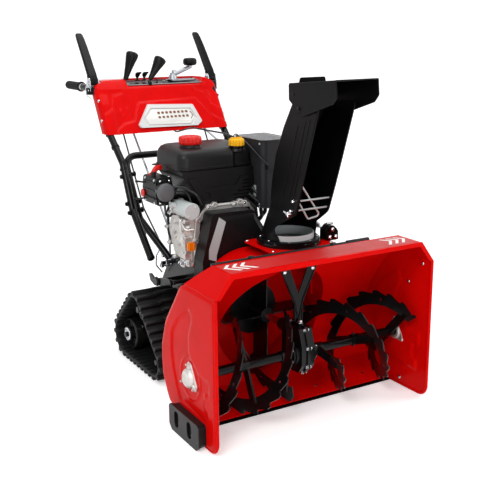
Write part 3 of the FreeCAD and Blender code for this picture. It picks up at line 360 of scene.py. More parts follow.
def moulded_plastic(name, base, darker, roughness, texture, mirror=0.3):
    """Injection-moulded ABS with a spark-eroded grain on its visible faces."""
    tree, shader, place = surface(name)
    mottle(tree, shader, place, base, darker, 60, roughness, 0.05)
    # the mould's grain is about 0.3 mm; drawn at 1.2 mm so that it shows
    grain(tree, shader, place, 1.2, texture)
    shader.inputs["Specular IOR Level"].default_value = mirror


def plated_steel(name, base, roughness):
    """Bright zinc plate: a thin blue-grey bloom and faint drawing lines."""
    tree, shader, place = surface(name)
    mottle(tree, shader, place, base, "#B4B8BE", 40, roughness, 0.05)
    # drawing lines are finer than 0.1 mm; drawn as a 6 mm ripple that only bends highlights
    grain(tree, shader, place, 6, 0.02)
    shader.inputs["Metallic"].default_value = 1.0


def die_cast_alloy(name, base, roughness):
    """Unpainted die-cast aluminium: a matt skin with flow marks and small pits."""
    tree, shader, place = surface(name)
    mottle(tree, shader, place, base, "#A9A6A2", 22, roughness, 0.1)
    grain(tree, shader, place, 1.8, 0.14, 6.0)
    shader.inputs["Metallic"].default_value = 0.85


def moulded_rubber(name, base, roughness, size):
    """Carbon-black rubber, matt, with a slight patchy bloom."""
    tree, shader, place = surface(name)
    mottle(tree, shader, place, base, "#161616", 30, roughness, 0.08)
    grain(tree, shader, place, size, 0.12, 5.0)
    shader.inputs["Specular IOR Level"].default_value = 0.2


def make_materials(look):
    """Every finish of the machine."""
    for name, *values in (
            # base colour, darker tint, roughness, clear coat and, where given, mirror
            ("red_powder_coat", look.red, "#C60302", 0.18, 0.0, 0.04),
            ("gloss_black_powder_coat", look.black, "#08080A", 0.34, 0.0, 0.1),
            ("satin_black_powder_coat", "#0A0A0B", "#060607", 0.24, 0.06, 0.14),
            ("charcoal_powder_coat", "#2B2C2E", "#222325", 0.42, 0.0),
            ("black_engine_enamel", "#0C0C0D", "#060607", 0.3, 0.15),
            # pale grey: silver paint on the guard's fixings; painted highlight on the belt
            # cover's lit bevels and the control panel's rim
            ("silver_paint_and_highlight", "#AEB6B6", "#9CA4A4", 0.4, 0.0),
            # lighter grey for the guard's top grille: its grey paint brightened as painted light
            # on that top face
            ("grille_grey_painted_light", "#8E8F91", "#808183", 0.4, 0.0),
            ("silver_enamel", "#CBD2D2", "#BCC3C3", 0.34, 0.1)):
        powder_coated_steel(name, *values)
    for name, *values in (
            # base colour, darker tint, roughness, grain depth and, where given, mirror
            ("black_grained_abs", "#131314", "#0D0D0E", 0.4, 0.05, 0.22),
            ("black_gloss_abs", "#0B0B0C", "#070708", 0.24, 0.01, 0.14),
            ("grey_abs", "#5E5F61", "#525355", 0.5, 0.05),
            ("red_gloss_abs", look.red, "#C20307", 0.16, 0.01, 0.06),
            ("red_polypropylene", "#E0190F", "#C8130B", 0.34, 0.02),
            ("yellow_polypropylene", "#F2B705", "#E3A603", 0.36, 0.02),
            ("orange_polypropylene", "#F58A0B", "#E67A05", 0.36, 0.02),
            # darker red that stands in for the shade of the housing's top face: painted shade
            ("painted_shade_red", "#C61A17", "#BC1614", 0.42, 0.0),
            ("white_vinyl", "#F4F4F2", "#EDEDEA", 0.4, 0.0),
            ("headlight_lens", "#E9E8E4", "#DAD9D5", 0.14, 0.0),
            ("headlight_frame", "#D9D9D8", "#CBCBCA", 0.22, 0.0),
            ("charcoal_cap", "#3A3A3C", "#303032", 0.4, 0.02),
            ("amber_chip", "#8A5A3A", "#6E4428", 0.3, 0.0),
            ("cable_sheath", "#1C1C1D", "#141415", 0.3, 0.0)):
        moulded_plastic(name, *values)
    plated_steel("bright_zinc_plate", "#D9DBDE", 0.2)
    plated_steel("drawn_steel", "#8E9094", 0.34)
    die_cast_alloy("die_cast_aluminium", "#E2DFDB", 0.46)
    moulded_rubber("track_rubber", "#0B0B0B", 0.5, 1.6)
    moulded_rubber("grip_rubber", "#141414", 0.6, 0.9)


NODE_FINISHES = {
    "red_powder_coat": ("auger_housing", "impeller_housing"),
    "gloss_black_powder_coat": ("chute", "deflector"),
    "satin_black_powder_coat": (
        "auger_shaft", "gearbox_brace", "lower_handle", "upper_handle_left",
        "upper_handle_right", "chute_clamp_ring", "chassis", "track_brackets",
        "chute_drive", "skid_shoe_left", "skid_shoe_right", "scraper_blade",
        "track_frame_left", "track_frame_right", "muffler"),
    "charcoal_powder_coat": ("muffler_guard",),
    # the top grille is lighter than its guard: painted light on the top face
    "grille_grey_painted_light": ("guard_grille",),
    "black_engine_enamel": ("auger_flight_left", "auger_flight_right", "auger_gearbox",
                            "impeller", "engine_block"),
    "bright_zinc_plate": ("auger_bearing_left", "auger_bearing_right",
                          "chute_rod", "shift_rod", "impeller_shaft"),
    "silver_enamel": ("starter_motor", "chute_guard", "chute_collar"),
    "black_grained_abs": (
        "track_wheels_left", "track_wheels_right", "fuel_tank", "engine_shroud",
        "belt_cover", "air_box", "recoil_starter", "clean_out_tool"),
    "black_gloss_abs": ("clutch_lever_left", "clutch_lever_right", "gear_lever",
                        "deflector_lever", "chute_crank", "small_levers"),
    "grey_abs": ("heater_knob", "control_panel"),
    "red_gloss_abs": ("dashboard",),
    "red_polypropylene": ("fuel_cap",),
    "yellow_polypropylene": ("oil_filler_cap",),
    "orange_polypropylene": ("dipstick",),
    "headlight_lens": ("headlight",),
    "cable_sheath": ("cables",),
    "track_rubber": ("track_left", "track_right"),
    "grip_rubber": ("grip_left", "grip_right"),
}


def paint_nodes():
    """Give every CAD node its finish."""
    for finish, names in NODE_FINISHES.items():
        for name in names:
            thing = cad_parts[name]
            thing.data.materials.clear()
            thing.data.materials.append(MATERIALS[finish])


# ------------------------------------------------------------------ auger housing

SIDE_EDGE = fillet([(2, 467), (2, 7, 38), (184, 7), (187, 12), (306, 62, 40), (352, 130, 70),
                    (356, 230, 90), (322, 320, 120), (262, 395, 120), (207, 467, 60)], 6)
PRESSED = fillet([(100, 409, 20), (165, 397, 50), (232, 352, 60), (274, 300, 40), (280, 238, 60),
                  (268, 175, 50), (238, 112, 20), (226, 94, 10), (54, 82, 8), (54, 122, 8),
                  (74, 122, 4), (74, 172, 4), (42, 172, 8), (42, 216, 8), (96, 216, 20),
                  (140, 242, 20), (163, 262, 20), (166, 313, 40), (146, 364, 40)], 4)


def side_skin(bm, start, side, height):
    """One face of a pressed side plate, raised by a height that depends on the place."""
    spacing = 5.0
    face = bm.faces.new([bm.verts.new((start, y, z)) for y, z in SIDE_EDGE])
    geometry = [face] + list(face.edges) + list(face.verts)
    for axis, low, high in ((1, 0, 360), (2, 5, 470)):
        normal = Vector((0, axis == 1, axis == 2))
        for number in range(1, int((high - low) / spacing)):
            cut = normal * (low + number * spacing)
            halves = bmesh.ops.bisect_plane(bm, geom=geometry, plane_co=cut, plane_no=normal)
            geometry = halves["geom"]
    faces = [item for item in geometry if isinstance(item, bmesh.types.BMFace)]
    back = bmesh.ops.extrude_face_region(bm, geom=faces)
    raised = {item for item in back["geom"] if isinstance(item, bmesh.types.BMVert)}
    for vert in raised:
        vert.co.x += side * height(vert.co.y, vert.co.z)


def bearing_ring(y, z, radius):
    """Share of a raised ring round the auger's bearing."""
    return 1 - step_up(abs(math.dist((y, z), AUGER) - radius) - 4, 8)


def outer_height(y, z):
    """Rim that stands round the pressed field, with a ring round the bearing."""
    rim = (1 - step_up(inside_by(PRESSED, y, z), 9)) * step_up(
        abs(inside_by(SIDE_EDGE, y, z)) - 5, 9)
    return 0.4 + max(4.0 * rim, 2.6 * bearing_ring(y, z, 62))


def inner_height(y, z):
    """Field that stands up towards the auger, with a ring round the bearing."""
    field = step_up(inside_by(PRESSED, y, z), 9)
    return 0.4 + max(4.5 * field, 5.0 * bearing_ring(y, z, 56))


class SNOWBLOWER_OT_housing(bpy.types.Operator):
    """Pressed side plates, folded edges, painted shade of the top face, decals and bolts of the
    auger housing
    """
    bl_idname = "snowblower.housing"
    bl_label = "Auger housing"

    def execute(self, context):
        bm = bmesh.new()
        side_skin(bm, 389.9, 1, outer_height)
        side_skin(bm, 387.1, -1, inner_height)
        both_sides(bm)
        piece("pressed_side_plates", bm, "red_powder_coat", angle=50)

        bm = bmesh.new()
        tube(bm, bend([(388.5, 3, 468), (388.5, 3, 8), (388.5, 186, 6)], 36), 5.2, 12)
        both_sides(bm)
        plate(bm, [(-391, 469), (-340, 536.5), (340, 536.5), (391, 469), (375, 469),
                   (333, 522), (-333, 522), (-375, 469)], [], "Y", -1.5, 2)
        piece("folded_front_edge", bm, "red_powder_coat", bevel=0.9)

        # darker red sheet over the whole top face of the lip: painted shade of that face; the
        # white chevrons on it are print
        bm = bmesh.new()
        prism(bm, round_box((-334, 11), (334, 101), 3), "Z", 534.8, 535.4)
        piece("top_face_painted_shade", bm, "painted_shade_red")
        bm = bmesh.new()
        for tip in (-327, -301, -275):
            prism(bm, [(tip, 66), (tip + 22, 92), (tip + 33, 92), (tip + 12, 66),
                       (tip + 42, 30), (tip + 30, 30)], "Z", 535.2, 535.7)
        both_sides(bm)
        piece("decal_chevrons", bm, "white_vinyl")

        bm = bmesh.new()
        plate_bolts = ((43, 450), (106, 375), (131, 29))
        for y, z in plate_bolts:
            dome(bm, (386.6, y, z), RIGHT, 6.5)
        for x in (-300, -105, 105, 300):
            dome(bm, (x, 224, 24.5), (0, -0.42, 0.91), 8)
        both_sides(bm)
        for x in (-52, 52):
            dome(bm, (x, 174.5, 455), FORWARD, 7)
        for x, y in ((-4, 316), (224, 316), (-4, 484), (224, 484), (110, 308), (110, 492)):
            dome(bm, (x, y, 482), UP, 6.5)
        piece("housing_bolts", bm, "bright_zinc_plate")
        bm = bmesh.new()
        for y, z in plate_bolts:
            lathe(bm, [(6, -1), (6, 1.4), (4.5, 2.4)], (390, y, z), LEFT, 6)
        both_sides(bm)
        piece("plate_nuts", bm, "satin_black_powder_coat")
        return {"FINISHED"}


class SNOWBLOWER_OT_bearings(bpy.types.Operator):
    """Three-lobed bearing flanges outside and inside the side plates"""
    bl_idname = "snowblower.bearings"
    bl_label = "Auger bearings"

    def execute(self, context):
        bm = bmesh.new()
        lobes = turns(3, 0.75)
        outline = fillet([(*polar(AUGER, 60, a), 13) for a in lobes], 6)
        prism(bm, outline, "X", 390.2, 394.5, 0.04)
        lathe(bm, [(31, 0), (30, 5), (27, 10), (23, 13.5), (14, 14), (12.5, 12.6), (0, 12.6)],
              (394.3, *AUGER), LEFT, 36)
        for a in lobes:
            lobe = polar(AUGER, 44, a)
            tube(bm, [(395, *polar(AUGER, 24, a)), (394, *lobe)], [6, 3.5], 10)
            bolt(bm, (394.4, *lobe), LEFT, 6.5)
            tube(bm, [(399, *lobe), (406, *lobe)], 3.2, 10)
        prism(bm, outline, "X", 386.6, 381.5, 0.05)
        lathe(bm, [(29, 0), (28, 4), (25, 7), (17.5, 8), (17.2, 0)], (382, *AUGER),
              RIGHT, 36)
        for a in lobes:
            dome(bm, (381.7, *polar(AUGER, 44, a)), RIGHT, 7)
        both_sides(bm)
        piece("bearing_flanges", bm, "die_cast_aluminium", bevel=0.7,
              replaces=("auger_bearing_left", "auger_bearing_right"))
        return {"FINISHED"}


class SNOWBLOWER_OT_skids(bpy.types.Operator):
    """Skid shoes with two slots each and the bolts that hold them"""
    bl_idname = "snowblower.skids"
    bl_label = "Skid shoes"

    def execute(self, context):
        bm = bmesh.new()
        front, back = 58, 252
        slots = [round_box((y - 14, 20), (y + 14, 72), 13.5, 6) for y in (119, 202)]
        plate(bm, fillet([(front, 16, 8), (front, 83, 12), (back, 83, 12), (back, 16, 8),
                          (back - 18, 0, 4), (front + 18, 0, 4)], 4), slots, "X", 412, 421)
        prism(bm, fillet([(front + 3, 18, 8), (front + 3, 80, 12), (back - 3, 80, 12),
                          (back - 3, 18, 8), (back - 20, 3, 4), (front + 20, 3, 4)], 4),
              "X", 391, 412.5)
        both_sides(bm)
        piece("skid_shoes", bm, "black_grained_abs", bevel=1.6,
              replaces=("skid_shoe_left", "skid_shoe_right"))
        bm = bmesh.new()
        for y in (112, 195):
            dome(bm, (412.4, y, 30), LEFT, 8)
        both_sides(bm)
        piece("skid_bolts", bm, "bright_zinc_plate")
        return {"FINISHED"}


# ------------------------------------------------------------------ auger

class SNOWBLOWER_OT_auger(bpy.types.Operator):
    """Shear pins of the auger and the ribs and bolts of its gear case"""
    bl_idname = "snowblower.auger"
    bl_label = "Auger"

    def execute(self, context):
        bm = bmesh.new()
        for x in (62, 214):
            for side in (-1, 1):
                lathe(bm, [(19, -16), (19, 16)], (side * x, *AUGER), LEFT, 24)
        for x in (-206, 206):
            tube(bm, [(x, 161, 166), (x, 161, 214)], 3, 10)
            bolt(bm, (x, 161, 208), UP, 5.5)
        piece("auger_hubs", bm, "black_engine_enamel", body="auger", bevel=1)

        bm = bmesh.new()
        case = fillet([(y, z, 12) for y, z in (
            (119, 159), (119, 217), (139, 276), (221, 276), (221, 228), (205, 155),
            (179, 127), (139, 131))])
        middle_y, middle_z = 168, 200
        wide = [(middle_y + (y - middle_y) * 1.1, middle_z + (z - middle_z) * 1.08)
                for y, z in case]
        prism(bm, wide, "X", -5, 5)
        for side in (-1, 1):
            for x, radius in ((34, 36), (41, 30)):
                lathe(bm, [(radius, -2.5), (radius, 2.5)], (side * x, *AUGER), LEFT, 30)
            for a in turns(6, 0.5):
                tube(bm, [(side * 23, *polar(AUGER, 30, a)),
                          (side * 39, *polar(AUGER, 27, a))], 4, 8)
        for a in turns(5):
            x, z = polar((0, 252), 22, a)
            lathe(bm, [(4.5, -1), (4.5, 6)], (x, 219, z), BACK, 12)
        lathe(bm, [(12, -2), (12, 10), (9, 12)], (0, 168, 274), UP, 20)
        piece("gear_case_ribs", bm, "black_engine_enamel", bevel=1.2)

        bm = bmesh.new()
        for y, z in wide[::5]:
            for side in (-1, 1):
                bolt(bm, (side * 5, y + (middle_y - y) * 0.04, z + (middle_z - z) * 0.04),
                     (side, 0, 0), 6)
        for side in (-1, 1):
            for a in turns(4, 0.5):
                bolt(bm, (side * 43, *polar(AUGER, 25, a)), (side, 0, 0), 4.5)
        bolt(bm, (0, 168, 286), UP, 10)
        bolt(bm, (0, 150, 131), (0, -0.2, -1), 8)
        piece("gear_case_bolts", bm, "bright_zinc_plate")

        bm = bmesh.new()
        for side in (-1, 1):
            tube(bm, [(side * 1.5, 175, 296), (side * 16, 175, 358), (side * 74, 175, 478)],
                 2.4, 8)
            tube(bm, [(side * 14, 175, 290), (side * 15, 175, 342)], 2.4, 8)
        piece("brace_folds", bm, "satin_black_powder_coat")
        return {"FINISHED"}


# ------------------------------------------------------------------ chute

# X of the trough's two walls, each with the sign of its outward side
WALLS = ((42, -1), (178, 1))


class SNOWBLOWER_OT_chute(bpy.types.Operator):
    """Neck skirt, nuts and the ring fittings of the chute"""
    bl_idname = "snowblower.chute"
    bl_label = "Chute"

    def execute(self, context):
        bm = bmesh.new()
        skin(bm, [[(*polar(CHUTE, radius, math.radians(turn)), z)
                   for radius, z in ((80.4, 306), (83.4, 306), (83.4, 358), (80.4, 358))]
                  for turn in range(-55, 56, 5)])
        piece("neck_skirt", bm, "red_powder_coat")

        bm = bmesh.new()
        for y, z in ((278, 617), (266, 650)):
            for x, way in WALLS:
                lathe(bm, [(5.5, -3), (5.5, 2), (3.5, 4)], (x + way * 6, y, z),
                      (way, 0, 0), 6)
        at = Vector((37, 289, 607))
        lathe(bm, [(9, -6), (9, 3), (6, 9)], at, RIGHT, 14)
        for lean in (-1, 1):
            tube(bm, [at + Vector((-5, 0, 0)), at + Vector((-12, lean * 13, lean * 8))],
                 [4, 2.6], 8)
        for a in turns(8, 0.3):
            dome(bm, (*polar(CHUTE, 95, a), 502.3), UP, 4.5)
        piece("chute_fasteners", bm, "bright_zinc_plate", body="chute_body")

        bm = bmesh.new()
        lathe(bm, [(101, 0), (106, 0.6), (106, 7), (101, 8)], (*CHUTE, 482.5),
              UP, 64)
        for a in turns(64):
            at = Vector((*polar(CHUTE, 105, a), 483))
            tube(bm, [at, at + Vector((0, 0, 7))], 2.6, 6)
        piece("chute_ring_gear", bm, "satin_black_powder_coat")

        bm = bmesh.new()
        for a in turns(6, 0.5):
            bolt(bm, (*polar(CHUTE, 98, a), 493.6), UP, 5)
        for x, z in ((246, 520), (236, 494), (260, 494)):
            bolt(bm, (x, 338, z), FORWARD, 6)
        tube(bm, [(230, 352, 538), (256, 352, 538)], 5, 10)
        piece("ring_bolts", bm, "bright_zinc_plate")

        bm = bmesh.new()
        prism(bm, fillet([(222, 482, 4), (222, 514, 10), (232, 535, 8), (252, 533, 12),
                          (270, 514, 10), (272, 482, 4)]), "Y", 345, 338)
        lathe(bm, [(13, -20), (13, 20)], (240, 362, 507), (0, 0.9, 0.41), 20)
        piece("worm_bracket", bm, "satin_black_powder_coat", bevel=1.5)
        return {"FINISHED"}


class SNOWBLOWER_OT_hood(bpy.types.Operator):
    """Folds and hinge nuts of the hood at the top of the chute"""
    bl_idname = "snowblower.hood"
    bl_label = "Hood"

    def execute(self, context):
        bm = bmesh.new()
        for x in (34, 186):
            tube(bm, bend([(x, 285, 968), (x, 287, 1016), (x, 49, 1036)], 6), 2.2, 10)
            tube(bm, bend([(x, 49, 1036), (x, 43.5, 991), (x, 63, 969.5), (x, 216, 922),
                           (x, 285, 968)], 8), 2.0, 10)
        tube(bm, [(34, 49, 1036.5), (186, 49, 1036.5)], 2.4, 10)
        piece("hood_folds", bm, "gloss_black_powder_coat", body="hood")

        bm = bmesh.new()
        for x, way in WALLS:
            bolt(bm, (x + way * 9, 232, 944), (way, 0, 0), 7)
            dome(bm, (x + way * 9, 262, 985), (way, 0, 0), 5)
        piece("hood_fasteners", bm, "satin_black_powder_coat", body="hood")
        return {"FINISHED"}


# ------------------------------------------------------------------ engine

# X, Y and Z at the foot of the two screw caps on the tank
FUEL_CAP, OIL_CAP = (-107, 690, 796), (38, 622, 789)


def screw_cap(bm, at, radius, lobes, depth, profile):
    """A cap with finger grooves between its lobes; the profile lists scale and height."""
    outline = [polar((0, 0), radius - depth * (0.5 + 0.5 * math.cos(lobes * a)) ** 2, a)
               for a in turns(lobes * 8)]
    skin(bm, [[(at[0] + u * scale, at[1] + v * scale, at[2] + height) for u, v in outline]
              for scale, height in profile])


def tank_loop(inset, rise, z):
    """Level outline of the tank, with a step at its filler and a top that rises backwards."""
    start, front, stop, back = -190 + inset, 600 + inset, 94 - inset, 810 - inset
    outline = fillet([(start, front, 34 - inset / 2), (10, front, 10), (24, front + 10, 10),
                      (stop, front + 10, 22), (stop, back, 26), (start, back, 30)], 7)
    return [(x, y, z + rise * (y - 600) / 200) for x, y in outline]


class SNOWBLOWER_OT_tank(bpy.types.Operator):
    """Fuel tank with its seam, necks and screw caps"""
    bl_idname = "snowblower.tank"
    bl_label = "Tank"

    def execute(self, context):
        bm = bmesh.new()
        skin(bm, [tank_loop(*level) for level in (
            (6, 0, 716), (0, 0, 719), (0, 0, 722), (-2.5, 0, 723), (-2.5, 0, 727),
            (0, 0, 728.5), (0, 0, 756), (1.2, 3, 763), (4.5, 5, 771), (10, 8, 777.5),
            (19, 10, 781.5), (32, 11, 783.5))])
        for (x, y, _), z, radius in ((FUEL_CAP, 776, 36), (OIL_CAP, 770, 22)):
            lathe(bm, [(radius + 3, 0), (radius + 1, 8), (radius - 2, 12), (radius - 2, 20)],
                  (x, y, z), UP, 40)
        prism(bm, fillet([(-206, 798), (-188, 770, 5), (-160, 800, 4), (-188, 812, 5)]), "Z",
              717, 721)
        piece("fuel_tank_shell", bm, "black_grained_abs",
              replaces=("fuel_tank",), angle=40)

        bm = bmesh.new()
        screw_cap(bm, FUEL_CAP, 40.5, 14, 4, (
            (0.9, 0), (0.98, 3), (1, 8), (1, 18), (0.975, 23), (0.92, 26.5), (0.83, 28),
            (0.7, 28), (0.66, 26), (0.2, 26)))
        piece("fuel_cap_shell", bm, "red_polypropylene",
              replaces=("fuel_cap",), angle=40)

        bm = bmesh.new()
        screw_cap(bm, OIL_CAP, 28, 12, 3.4, (
            (0.97, 0), (1, 3), (1, 15), (0.96, 20), (0.86, 23), (0.72, 24), (0.3, 24.5)))
        block(bm, (16, 617, 808), (60, 627, 817), 4)
        piece("oil_cap_shell", bm, "yellow_polypropylene",
              replaces=("oil_filler_cap",), angle=40)

        bm = bmesh.new()
        loop = [polar((38, 818), 9, a - 0.6) for a in turns(16)[:-1]]
        tube(bm, [(x, 626, z) for x, z in loop], 1.8, 8)
        lathe(bm, [(24, 0), (25, 3), (25, 8), (23, 9)], (38, 622, 780.5), UP, 32)
        piece("oil_cap_loop", bm, "black_gloss_abs")
        return {"FINISHED"}


class SNOWBLOWER_OT_shroud(bpy.types.Operator):
    """Cooling shroud, belt cover and muffler guard with their folds and slots"""
    bl_idname = "snowblower.shroud"
    bl_label = "Shroud and covers"

    def execute(self, context):
        bm = bmesh.new()
        prism(bm, fillet([(-112, 600, 10), (-184, 700, 12), (-184, 716), (90, 716),
                          (90, 600, 10)]), "Y", 600, 790)
        slots = [round_box((low, z), (74, z + 5), 2)
                 for low, z in ((46, 668), (46, 656), (46, 644), (24, 632), (8, 620), (8, 608))]
        plate(bm, fillet([(-110, 603, 6), (-166, 692, 3), (-130, 692, 5), (-106, 655, 7),
                          (20, 655, 7), (42, 686, 5), (88, 686, 4), (88, 603, 6)]),
              [[polar((-98, 630), 13, a) for a in turns(24)]] + slots, "Y", 594, 600.5)
        lathe(bm, [(17, 0), (17, 3), (13.5, 3.2), (13, -9), (2, -9)], (-98, 594.5, 630),
              FORWARD, 28)
        piece("engine_shroud_shell", bm, "black_grained_abs",
              replaces=("engine_shroud",), bevel=1.1)

        bm = bmesh.new()
        prism(bm, fillet([(-158, 300, 8), (-158, 418, 14), (-116, 582, 14), (40, 580, 14),
                          (92, 500, 14), (120, 430, 14), (120, 300, 8)]), "Y", 516, 580)
        rim = fillet([(-136, 410, 4), (-133, 462, 6), (-92, 570, 8), (46, 570, 10),
                      (98, 484, 10), (106, 410, 4)])
        face = fillet([(-112, 418, 4), (-110, 440, 6), (-72, 553, 8), (38, 553, 10),
                       (84, 474, 10), (90, 418, 4)])
        skin(bm, [[(x, y, z) for x, z in loop] for loop, y in ((rim, 517), (face, 508))])
        piece("belt_cover_shell", bm, "black_grained_abs",
              replaces=("belt_cover",), bevel=1.6)

        bm = bmesh.new()
        # pale grey sheet on the bevels that face the key light: a painted highlight of those
        # bevels
        slant = [(-134.5, 516.5, 428), (-133, 516.5, 462), (-93, 516.5, 568),
                 (-72, 507.5, 552), (-109, 507.5, 441), (-111, 507.5, 420)]
        skin(bm, [[(x, y - out, z) for x, y, z in slant] for out in (-1, 1.2)])
        piece("belt_cover_bevel_highlight", bm, "silver_paint_and_highlight")

        bm = bmesh.new()
        rim = fillet([(94, 540, 20), (220, 540, 20), (220, 730, 8), (94, 730, 8)], 6)
        for z, radius in ((807, 2.6), (573, 2.2)):
            tube(bm, [(x, y, z) for x, y in rim + rim[:1]], radius, 8)
        lathe(bm, [(23, 0), (23, 2), (19, 2.4)], (94, 650, 640), RIGHT, 28)
        piece("muffler_guard_rims", bm, "charcoal_powder_coat")

        bm = bmesh.new()
        prism(bm, fillet([(585, 586, 4), (601, 586, 4), (598, 648, 5), (584, 648, 5)]), "X",
              94.5, 91.5)
        for y, z in ((563, 584), (563, 572), (704, 591), (704, 796), (560, 796)):
            dome(bm, (94, y, z), RIGHT, 4.5)
        piece("guard_fixings", bm, "silver_paint_and_highlight")
        return {"FINISHED"}


# X and Z of the lugs of the crankcase's front flange, and Y, Z and radius of those of its cover
FLANGE_LUGS = ((-98, 592), (4, 592), (42, 592), (-140, 552), (-150, 480), (-146, 412))
COVER_LUGS = ((602, 548, 9), (640, 574, 8), (712, 560, 9), (724, 450, 9), (602, 440, 9),
              (602, 490, 8), (682, 408, 8), (742, 504, 8))
STARTER = (-170, 588)


class SNOWBLOWER_OT_castings(bpy.types.Operator):
    """Crankcase castings, lugs, bolts and the starter motor"""
    bl_idname = "snowblower.castings"
    bl_label = "Castings and starter"

    def execute(self, context):
        bm = bmesh.new()
        for x, z in FLANGE_LUGS + ((-76, 597), (24, 598)):
            lathe(bm, [(11, 0), (11, 13), (9, 14), (5.5, 14), (5.5, 9)], (x, 588, z),
                  FORWARD, 20)
        plate(bm, fillet([(-134, 384, 6), (-155, 470, 16), (-148, 545, 10), (-108, 594, 8),
                          (72, 592, 8), (100, 540, 8), (112, 384, 6)]),
              [fillet([(-118, 398, 6), (-139, 470, 16), (-132, 540, 10), (-100, 580, 8),
                       (64, 578, 8), (86, 536, 8), (98, 398, 6)])], "Y", 579, 587)
        tube(bm, [(-98, 583, 594), (44, 583, 594)], 6, 10)
        tube(bm, [(-104, 584, 590), (-142, 584, 552), (-152, 584, 478), (-148, 584, 400)],
             5, 10)
        prism(bm, fillet([(590, 390, 10), (590, 560, 22), (640, 590, 16), (720, 580, 20),
                          (748, 500, 30), (700, 398, 24)]), "X", -130, -160)
        prism(bm, fillet([(600, 402, 10), (604, 530, 18), (646, 566, 14), (712, 556, 16),
                          (736, 500, 26), (690, 410, 20)]), "X", -158, -178, 0.08)
        lathe(bm, [(46, 0), (44, 10), (36, 16), (18, 16), (16, 6), (6, 6)], (-168, 664, 492),
              RIGHT, 30)
        for a in turns(7, 0.3):
            tube(bm, [(-180, *polar((664, 492), 12, a)), (-176, *polar((664, 492), 60, a))],
                 [4, 3], 8)
        for y, z, radius in COVER_LUGS:
            lathe(bm, [(radius, 0), (radius, 44), (radius - 2, 46)], (-138, y, z), RIGHT, 18)
        block(bm, (-172, 594, 388), (-132, 622, 412), 6)
        block(bm, (-168, 640, 374), (-130, 672, 402), 7)
        block(bm, (-178, 616, 560), (-140, 672, 574), 6)
        prism(bm, fillet([(-196, 566, 6), (-196, 596, 10), (-150, 622, 10), (-140, 560, 6)]),
              "Y", 664, 676)
        tube(bm, bend([(-150, 590, 520), (-176, 600, 516), (-182, 640, 552), (-168, 660, 566)],
                      14), 5, 10)
        tube(bm, bend([(-150, 630, 560), (-184, 626, 548), (-186, 620, 510), (-160, 612, 480)],
                      12), 4.5, 10)
        piece("crankcase_castings", bm, "die_cast_aluminium", bevel=1.2)

        bm = bmesh.new()
        prism(bm, fillet([(-124, 382, 8), (-138, 470, 16), (-130, 548, 8), (-128, 600, 6),
                          (90, 600, 6), (110, 382, 8)]), "Y", 586, 790)
        prism(bm, fillet([(612, 382, 20), (606, 560, 30), (660, 600, 30), (760, 590, 40),
                          (776, 480, 50), (700, 382, 30)]), "X", -124, -150)
        for z in range(420, 590, 14):
            block(bm, (-146, 640, z), (-120, 786 - abs(z - 500) * 0.3, z + 5))
        piece("crankcase_body", bm, "black_engine_enamel",
              replaces=("engine_block",), bevel=1.0)

        bm = bmesh.new()
        for x, z in FLANGE_LUGS:
            bolt(bm, (x, 578, z), FORWARD, 5)
        for y, z, _ in COVER_LUGS:
            bolt(bm, (-184, y, z), RIGHT, 5.5)
        for y, z in ((600, 400), (614, 400), (648, 388), (664, 388)):
            bolt(bm, (-171, y, z), RIGHT, 6)
        lathe(bm, [(12, 0), (12, 8), (8, 10)], (-150, 594, 392), FORWARD, 6)
        lathe(bm, [(9, 0), (9, 12), (6, 14)], (-128, 590, 372), FORWARD, 20)
        piece("crankcase_bolts", bm, "bright_zinc_plate")

        bm = bmesh.new()
        lathe(bm, [(27, 0), (28.6, 1.5), (28.6, 6), (26.5, 7), (26.5, 14), (27.4, 15),
                   (27.4, 88), (26, 90), (26, 100), (20, 106)],
              (STARTER[0], 560, STARTER[1]), BACK, 48)
        for a, inwards in ((0.7, -4.8), (3.84, 4.8)):
            x, z = polar(STARTER, 23, a)
            tube(bm, [(x, 568, z), (x, 664, z)], 4, 8)
            dome(bm, (x + inwards, 560.4, z), FORWARD, 4.4)
        lathe(bm, [(10, 0), (10, 18)], (-196, 640, 600), (-1, 0, 0.2), 16)
        piece("starter_shell", bm, "silver_enamel", replaces=("starter_motor",),
              bevel=0.5)

        bm = bmesh.new()
        prism(bm, fillet([(-191, 454, 7), (-191, 484, 9), (-164, 484, 9), (-164, 454, 7)]),
              "Y", 567, 556)
        lathe(bm, [(9, 0), (9, 24)], (-168, 566, 468), BACK, 20)
        for x in (-185, -170):
            tube(bm, [(x, 555.5, 460), (x, 555.5, 478)], 2, 8)
        piece("dipstick_shell", bm, "orange_polypropylene",
              replaces=("dipstick",), bevel=1.4)
        return {"FINISHED"}


